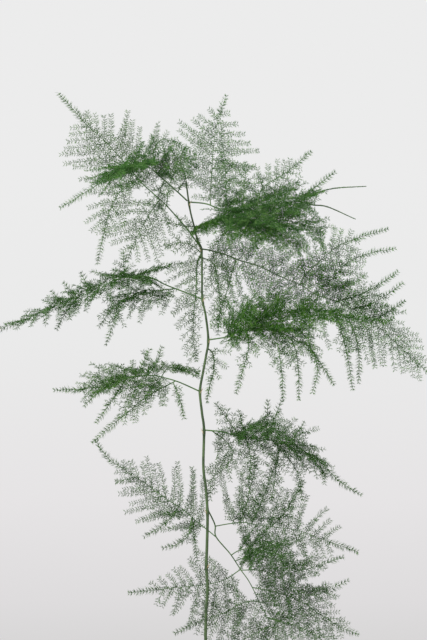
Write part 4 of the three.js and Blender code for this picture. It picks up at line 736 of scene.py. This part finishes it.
def dress_spray(twigs, needles, spray, curve, pinnae, radius, start, rng):
    """The tubes of a spray's rachis, pinnae and twigs, and then the needles on them."""
    spray_tube(twigs, spray, curve, radius, start)
    shares = np.linspace(0, 1, PINNA_RINGS)
    centres, _, left, out = pinna_points(pinnae, shares)
    radii = np.interp(shares, (0, 1), (PINNA_RADIUS, PINNA_TIP_RADIUS))
    radii = np.broadcast_to(radii, centres.shape[:2])
    twigs.tubes(centres, left, out, radii, PINNA_SIDES)

    roots, directions, outs, lengths = twigs_of(pinnae, spray["lace"], rng)
    if len(roots):
        reaches = lengths[:, None] * np.array((0, 0.5, 1))
        line = roots[:, None] + directions[:, None] * reaches[..., None]
        rings = len(TWIG_RADII)
        across = np.repeat(unit(np.cross(outs, directions))[:, None], rings, axis=1)
        radii = np.broadcast_to(np.array(TWIG_RADII), line.shape[:2])
        twigs.tubes(line, across, np.repeat(outs[:, None], rings, axis=1), radii, TWIG_SIDES)
        bristle_twigs(needles, roots, directions, outs, lengths, rng)
    for pinna in pinnae:
        bristle_pinna(needles, pinna, rng)

    bristle_rachis(needles, spray, curve, spray["leafy"], RACHIS_NEEDLES, WHORL_PITCH, PAIR,
                   NEEDLE_LEAN, rng)
    tail = (spray["leafy"][1], 1)
    bristle_rachis(needles, spray, curve, tail, np.array(TAIL_NEEDLES) * spray["tail"],
                   TAIL_WHORL_PITCH * spray["tail"], WHORL, TAIL_NEEDLE_LEAN, rng)


def dress_frond(name, sprays, seed, twig_material, needle_material):
    """Replaces a frond's frame node with its twigs, and hangs its needles on them."""
    rng = np.random.default_rng(seed)
    twigs, needles = Body(), Body()
    for i, (spray, curve, pinnae) in enumerate(frond_plan(sprays, seed)):
        radius, start = (BRANCH_RADIUS, 0) if i else (RACHIS_RADIUS, PETIOLE_ROOM)
        dress_spray(twigs, needles, spray, curve, pinnae, radius, start, rng)
    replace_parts(twigs.piece(name + "_twigs", twig_material, "foliage"), name)
    needles.piece(name + "_needles", needle_material, "foliage")


def linear(red, green, blue):
    """A screen colour of 0 to 255 as linear light."""
    shares = [value / 255 for value in (red, green, blue)]
    return tuple(((s + 0.055) / 1.055) ** 2.4 if s > 0.04045 else s / 12.92 for s in shares)


def set_stops(ramp, stops):
    """Gives a ramp its stops, each a place and a screen colour."""
    elements = ramp.color_ramp.elements
    elements.remove(elements[1])
    for i, (position, color) in enumerate(stops):
        if i:
            elements.new(position)
        elements[i].position = position
        elements[i].color = (*linear(*color), 1)


def add_node(tree, node_type, **inputs):
    """A new node, with the values of some of its inputs. An underscore stands for a space."""
    node = tree.nodes.new(node_type)
    for name, value in inputs.items():
        node.inputs[name.replace("_", " ")].default_value = value
    return node


def shaded(name, roughness, specular):
    """A material with its principled shader, ready for colour and bump."""
    material = bpy.data.materials.new(name)
    material.use_nodes = True
    shader = material.node_tree.nodes["Principled BSDF"]
    shader.inputs["Roughness"].default_value = roughness
    shader.inputs["Specular IOR Level"].default_value = specular
    return material, shader


def mottled(material, shader, scale, colors, detail, distortion=0.0, grain=0.5, spread=0.4):
    """Base colour from noise in the object's own coordinates, through a ramp of colours."""
    tree = material.node_tree
    place = add_node(tree, "ShaderNodeTexCoord")
    noise = add_node(tree, "ShaderNodeTexNoise", Scale=scale, Detail=detail, Distortion=distortion,
                     Roughness=grain)
    ramp = add_node(tree, "ShaderNodeValToRGB")
    ramp.color_ramp.interpolation = "EASE"
    set_stops(ramp, zip(np.linspace(0.5 - spread / 2, 0.5 + spread / 2, len(colors)), colors))
    tree.links.new(place.outputs["Object"], noise.inputs["Vector"])
    tree.links.new(noise.outputs["Fac"], ramp.inputs["Fac"])
    tree.links.new(ramp.outputs["Color"], shader.inputs["Base Color"])
    return place


def bumped(material, shader, place, scale, strength, distance):
    tree = material.node_tree
    noise = add_node(tree, "ShaderNodeTexNoise", Scale=scale, Detail=6.0)
    bump = add_node(tree, "ShaderNodeBump", Strength=strength, Distance=distance)
    tree.links.new(place.outputs["Object"], noise.inputs["Vector"])
    tree.links.new(noise.outputs["Fac"], bump.inputs["Height"])
    tree.links.new(bump.outputs["Normal"], shader.inputs["Normal"])


def foliage_material(name, colors):
    """Fine needles, which let some of the light behind them through."""
    material, shader = shaded(name, roughness=0.6, specular=0.15)
    mottled(material, shader, 150, colors, detail=7.0, grain=0.8, spread=0.22)
    tree = material.node_tree
    through = add_node(tree, "ShaderNodeBsdfTranslucent")
    mix = add_node(tree, "ShaderNodeMixShader", Fac=NEEDLE_GLOW)
    tree.links.new(shader.inputs["Base Color"].links[0].from_socket, through.inputs["Color"])
    tree.links.new(shader.outputs["BSDF"], mix.inputs[1])
    tree.links.new(through.outputs["BSDF"], mix.inputs[2])
    tree.links.new(mix.outputs["Shader"], tree.nodes["Material Output"].inputs["Surface"])
    return material


def stem_material(name, colors):
    material, shader = shaded(name, roughness=0.42, specular=0.4)
    place = mottled(material, shader, 90, colors, detail=6.0, distortion=0.6)
    bumped(material, shader, place, scale=900, strength=0.2, distance=0.0004)
    return material


def rough_material(name, roughness, scale, colors, bump_scale, strength, distance):
    material, shader = shaded(name, roughness, specular=0.2)
    place = mottled(material, shader, scale, colors, detail=9.0)
    bumped(material, shader, place, bump_scale, strength, distance)
    return material


# All colours are screen colours of 0 to 255, from dark to light.
stem_green = stem_material("stem_green", [(46, 66, 36), (76, 98, 58)])
twig_green = stem_material("twig_green", [(58, 92, 48), (88, 120, 66)])
GREENS = {
    "fresh_green": [(30, 76, 18), (66, 114, 38), (118, 164, 74)],
    "deep_green": [(34, 70, 24), (62, 102, 43), (106, 146, 82)],
    "light_green": [(40, 80, 26), (76, 118, 50), (126, 162, 94)],
    "vivid_green": [(24, 80, 8), (60, 122, 26), (114, 174, 62)],
    "cool_green": [(40, 86, 36), (76, 122, 58), (128, 168, 96)],
}
needle_greens = {name: foliage_material(name, colors) for name, colors in GREENS.items()}
scale_brown = rough_material(
    "scale_brown", 0.7, 300, [(150, 128, 92), (205, 186, 146)],
    bump_scale=1500, strength=0.3, distance=0.0003)
terracotta = rough_material(
    "terracotta", 0.85, 26, [(150, 84, 58), (176, 104, 72), (192, 124, 92)],
    bump_scale=700, strength=0.35, distance=0.0006)
earth = rough_material(
    "earth", 0.95, 160, [(34, 24, 18), (58, 42, 32), (84, 64, 48)],
    bump_scale=900, strength=0.8, distance=0.002)
perlite_white = rough_material(
    "perlite_white", 0.9, 400, [(196, 192, 184), (232, 230, 224)],
    bump_scale=1200, strength=0.5, distance=0.0008)

# The fronds whose needles aren't fresh green.
FOLIAGE = {
    "frond_top": "light_green", "frond_upper_left": "cool_green",
    "frond_left_crest": "light_green", "frond_upper_right": "cool_green",
    "frond_right_sweep": "vivid_green", "frond_stem_veil": "light_green",
    "frond_left_arch": "deep_green", "frond_left_lower": "light_green",
    "frond_middle_right": "deep_green", "frond_lower_right": "deep_green",
}


def stem_radius(height):
    share = np.clip((height - SOIL_LEVEL) / (STEM_TOP - SOIL_LEVEL), 0, 1)
    return STEM_BASE_RADIUS + (STEM_TOP_RADIUS - STEM_BASE_RADIUS) * share**STEM_TAPER


def dress_stem():
    """The stem swells a little at each node, where a papery scale clasps it."""
    curve = Curve(STEM_ROUTE)
    shares = np.linspace(0, 1, STEM_RINGS)
    centres = curve.point(shares)
    _, left, out = blade_at(curve, FACING, shares)
    heights = centres[:, 2]
    node_heights = [height for height, _ in STEM_NODES]
    swell = sum(np.exp(-(((heights - node) / NODE_LENGTH) ** 2)) for node in node_heights)
    radii = stem_radius(heights) * STEM_SLIMMING + NODE_SWELL * np.minimum(swell, 1)
    stem = Body()
    stem.tubes(centres[None], left[None], out[None], radii[None], STEM_SIDES)
    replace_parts(stem.piece("stem", stem_green, "stem"), "main_stem")

    scales = Body()
    for height, side in STEM_NODES:
        foot = curve.point(np.interp(height, heights, shares))
        reach = stem_radius(height)
        line = foot + np.array([
            (side * (reach * share + past), back, up) for share, past, back, up in SCALE_LINE])
        across = np.tile((0.0, -side, 0.0), (len(line), 1))
        thin = np.tile((side * SCALE_THINNESS, 0.0, 0.0), (len(line), 1))
        scales.tubes(line[None], across[None], thin[None], np.array([SCALE_RADII]), SCALE_SIDES)
    scales.piece("stem_scales", scale_brown, "stem")


def rounded(corners):
    """A line of corners with each inner one rounded off."""
    corners = np.asarray(corners, float)
    points = [corners[0]]
    t = np.linspace(0, 1, EDGE_STEPS)[:, None]
    for before, here, after in zip(corners, corners[1:], corners[2:]):
        shortest = min(np.linalg.norm(here - before), np.linalg.norm(after - here))
        size = min(EDGE_ROUND, EDGE_SHARE * shortest)
        start = here + unit(before - here) * size
        end = here + unit(after - here) * size
        points.extend((1 - t) ** 2 * start + 2 * t * (1 - t) * here + t**2 * end)
    points.append(corners[-1])
    return points


def pot_outer_radius(height):
    top = POT_RIM_RADIUS - RIM_STEP - EDGE_ROUND
    return POT_FOOT_RADIUS + (top - POT_FOOT_RADIUS) * (height / BODY_TOP)


def pot_inner_radius(height):
    return pot_outer_radius(height) - POT_WALL


def drain_drill():
    """Four rods where the drain holes go through the pot's floor."""
    drill = Body()
    low, high = -DRILL_MARGIN, FLOOR_THICKNESS + DRILL_MARGIN
    for i in range(DRAIN_HOLES):
        angle = 2 * math.pi * (i + 0.5) / DRAIN_HOLES
        hole = Body()
        hole.turned([(0, low), (DRAIN_RADIUS, low), (DRAIN_RADIUS, high), (0, high)],
                    DRAIN_SEGMENTS)
        place = np.array((DRAIN_CIRCLE * math.cos(angle), DRAIN_CIRCLE * math.sin(angle), 0))
        drill.add(hole.points[0] + place, hole.faces[0])
    return drill.lone_object("drill")


def dress_pot():
    """The clay pot, with its drain holes cut through the floor."""
    mouth = POT_RIM_RADIUS - POT_WALL
    corners = [
        (0, 0), (POT_FOOT_RADIUS - EDGE_ROUND, 0), (POT_FOOT_RADIUS, EDGE_ROUND),
        (pot_outer_radius(BODY_TOP), BODY_TOP), (POT_RIM_RADIUS - EDGE_ROUND, BODY_TOP),
        (POT_RIM_RADIUS - RIM_CHAMFER, BODY_TOP + EDGE_ROUND),
        (POT_RIM_RADIUS, POT_HEIGHT - EDGE_ROUND), (POT_RIM_RADIUS - EDGE_ROUND, POT_HEIGHT),
        (mouth, POT_HEIGHT), (mouth - RIM_STEP, POT_HEIGHT - EDGE_ROUND),
        (pot_inner_radius(BODY_TOP), BODY_TOP),
        (pot_inner_radius(FLOOR_THICKNESS), FLOOR_THICKNESS), (0, FLOOR_THICKNESS)]
    pot = Body()
    pot.turned(rounded(corners), TURN_SEGMENTS)
    piece = pot.piece("clay_pot", terracotta, "clay")
    cutter = drain_drill()
    cut = piece.modifiers.new("drain_holes", "BOOLEAN")
    cut.operation = "DIFFERENCE"
    cut.object = cutter
    cut.solver = "EXACT"
    graph = bpy.context.evaluated_depsgraph_get()
    drilled = bpy.data.meshes.new_from_object(piece.evaluated_get(graph))
    drilled.set_sharp_from_angle(angle=SHARP_EDGE)
    piece.modifiers.clear()
    piece.data = drilled
    bpy.data.objects.remove(cutter)
    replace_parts(piece, "pot")


def soil_height(x, y):
    """Low waves across the soil's top."""
    bump = np.sin(0.21 * x + 1) * np.cos(0.17 * y) + 0.6 * np.sin(0.4 * x - 0.33 * y)
    return SOIL_LEVEL + SOIL_BUMPS * bump


def scattered(count, reach, sizes, rng):
    """Places of crumbs that lie on the soil, and their sizes."""
    turn = rng.uniform(0, 2 * np.pi, count)
    away = CRUMBS_FROM_STEM + (reach - CRUMBS_FROM_STEM) * np.sqrt(rng.uniform(0, 1, count))
    x, y = away * np.cos(turn), away * np.sin(turn)
    size = rng.uniform(*sizes, count) * rng.uniform(*CRUMB_SHRINK, count)
    return np.stack([x, y, soil_height(x, y) + size * CRUMB_RISE], 1), size


def dress_soil():
    """Potting soil with an uneven top, crumbs and white grains of perlite."""
    rng = np.random.default_rng(SOIL_SEED)
    foot = pot_inner_radius(FLOOR_THICKNESS) - GAP
    waist = pot_inner_radius(BODY_TOP) - GAP
    edge = waist + RIM_LEAN * (SOIL_LEVEL - BODY_TOP)
    hole = STEM_BASE_RADIUS + GAP
    base = FLOOR_THICKNESS + GAP
    hole_foot = STEM_FOOT - GAP
    top = [(radius, SOIL_LEVEL) for radius in np.linspace(edge, hole, SOIL_RINGS)]
    soil = Body()
    soil.turned([(0, base), (foot, base), (waist, BODY_TOP), *top, (hole, hole_foot),
                 (0, hole_foot)], TURN_SEGMENTS)
    points = soil.points[0]
    upper = points[:, 2] >= SOIL_LEVEL
    rough = rng.normal(0, SOIL_ROUGHNESS, upper.sum())
    points[upper, 2] = soil_height(points[upper, 0], points[upper, 1]) + rough
    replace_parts(soil.piece("potting_soil", earth, "soil"), "soil")
    crumbs = Body()
    crumbs.lumps(*scattered(CRUMBS, edge - CRUMBS_FROM_EDGE, CRUMB_SIZES, rng), rng)
    crumbs.piece("soil_crumbs", earth, "soil")
    perlite = Body()
    perlite.lumps(*scattered(PERLITE, edge - CRUMBS_FROM_EDGE, PERLITE_SIZES, rng), rng)
    perlite.piece("perlite_grains", perlite_white, "soil")


def lay_floor():
    """The round floor ends behind the plant before the camera's view reaches it, and runs on
    towards the camera."""
    turn = np.linspace(0, 2 * np.pi, FLOOR_SIDES, endpoint=False)
    rim = np.stack([np.cos(turn), np.sin(turn), 0 * turn], 1) * FLOOR_RADIUS
    rim[:, 1] -= FLOOR_RADIUS - FLOOR_BEHIND
    floor_mesh = bpy.data.meshes.new("floor")
    floor_mesh.from_pydata([tuple(point) for point in rim], [], [tuple(range(FLOOR_SIDES))])
    floor = bpy.data.objects.new("floor", floor_mesh)
    bpy.context.scene.collection.objects.link(floor)
    floor_mesh.materials.append(rough_material(
        "floor", 0.8, 3, [(199, 199, 199), (203, 203, 203)],
        bump_scale=60, strength=0.05, distance=0.0005))


def light_studio():
    """A pale backdrop that lightens upwards from the level of the view, and one soft lamp."""
    world = bpy.data.worlds.new("studio")
    bpy.context.scene.world = world
    world.use_nodes = True
    tree = world.node_tree
    background = tree.nodes["Background"]
    background.inputs["Strength"].default_value = WORLD_STRENGTH
    direction = add_node(tree, "ShaderNodeTexCoord")
    height = add_node(tree, "ShaderNodeSeparateXYZ")
    level = add_node(tree, "ShaderNodeMapRange", From_Min=SKY_BAND[0], From_Max=SKY_BAND[1])
    shade = add_node(tree, "ShaderNodeValToRGB")
    set_stops(shade, [(0, (213, 212, 212)), (0.12, (222, 220, 221)), (0.33, (230, 228, 229)),
                      (0.66, (234, 234, 234)), (1, (236, 236, 236))])
    tree.links.new(direction.outputs["Generated"], height.inputs["Vector"])
    tree.links.new(height.outputs["Z"], level.inputs["Value"])
    tree.links.new(level.outputs["Result"], shade.inputs["Fac"])
    tree.links.new(shade.outputs["Color"], background.inputs["Color"])
    bpy.context.scene.view_settings.view_transform = "Standard"

    lamp = bpy.data.lights.new("key", "AREA")
    lamp.shape = "DISK"
    lamp.size = LIGHT_SIZE
    lamp.energy = LIGHT_POWER
    light = bpy.data.objects.new("key", lamp)
    light.location = LIGHT_PLACE
    aim = Vector(LIGHT_TARGET) - Vector(LIGHT_PLACE)
    light.rotation_euler = aim.to_track_quat("-Z", "Y").to_euler()
    bpy.context.scene.collection.objects.link(light)


def set_camera():
    camera_data = bpy.data.cameras.new("camera")
    camera_data.sensor_fit = "VERTICAL"
    camera_data.sensor_height = SENSOR_HEIGHT
    camera_data.lens = SENSOR_HEIGHT * VIEW_DISTANCE / IMAGE_HEIGHT
    camera = bpy.data.objects.new("camera", camera_data)
    camera.location = (VIEW_CENTRE * MM, -VIEW_DISTANCE * MM, VIEW_HEIGHT * MM)
    camera.rotation_euler = (math.pi / 2, 0, 0)
    bpy.context.scene.collection.objects.link(camera)
    bpy.context.scene.camera = camera


for seed, (name, sprays) in enumerate(FRONDS.items(), start=1):
    dress_frond(name, sprays, seed, twig_green, needle_greens[FOLIAGE.get(name, "fresh_green")])
dress_stem()
dress_pot()
dress_soil()
lay_floor()
light_studio()
set_camera()
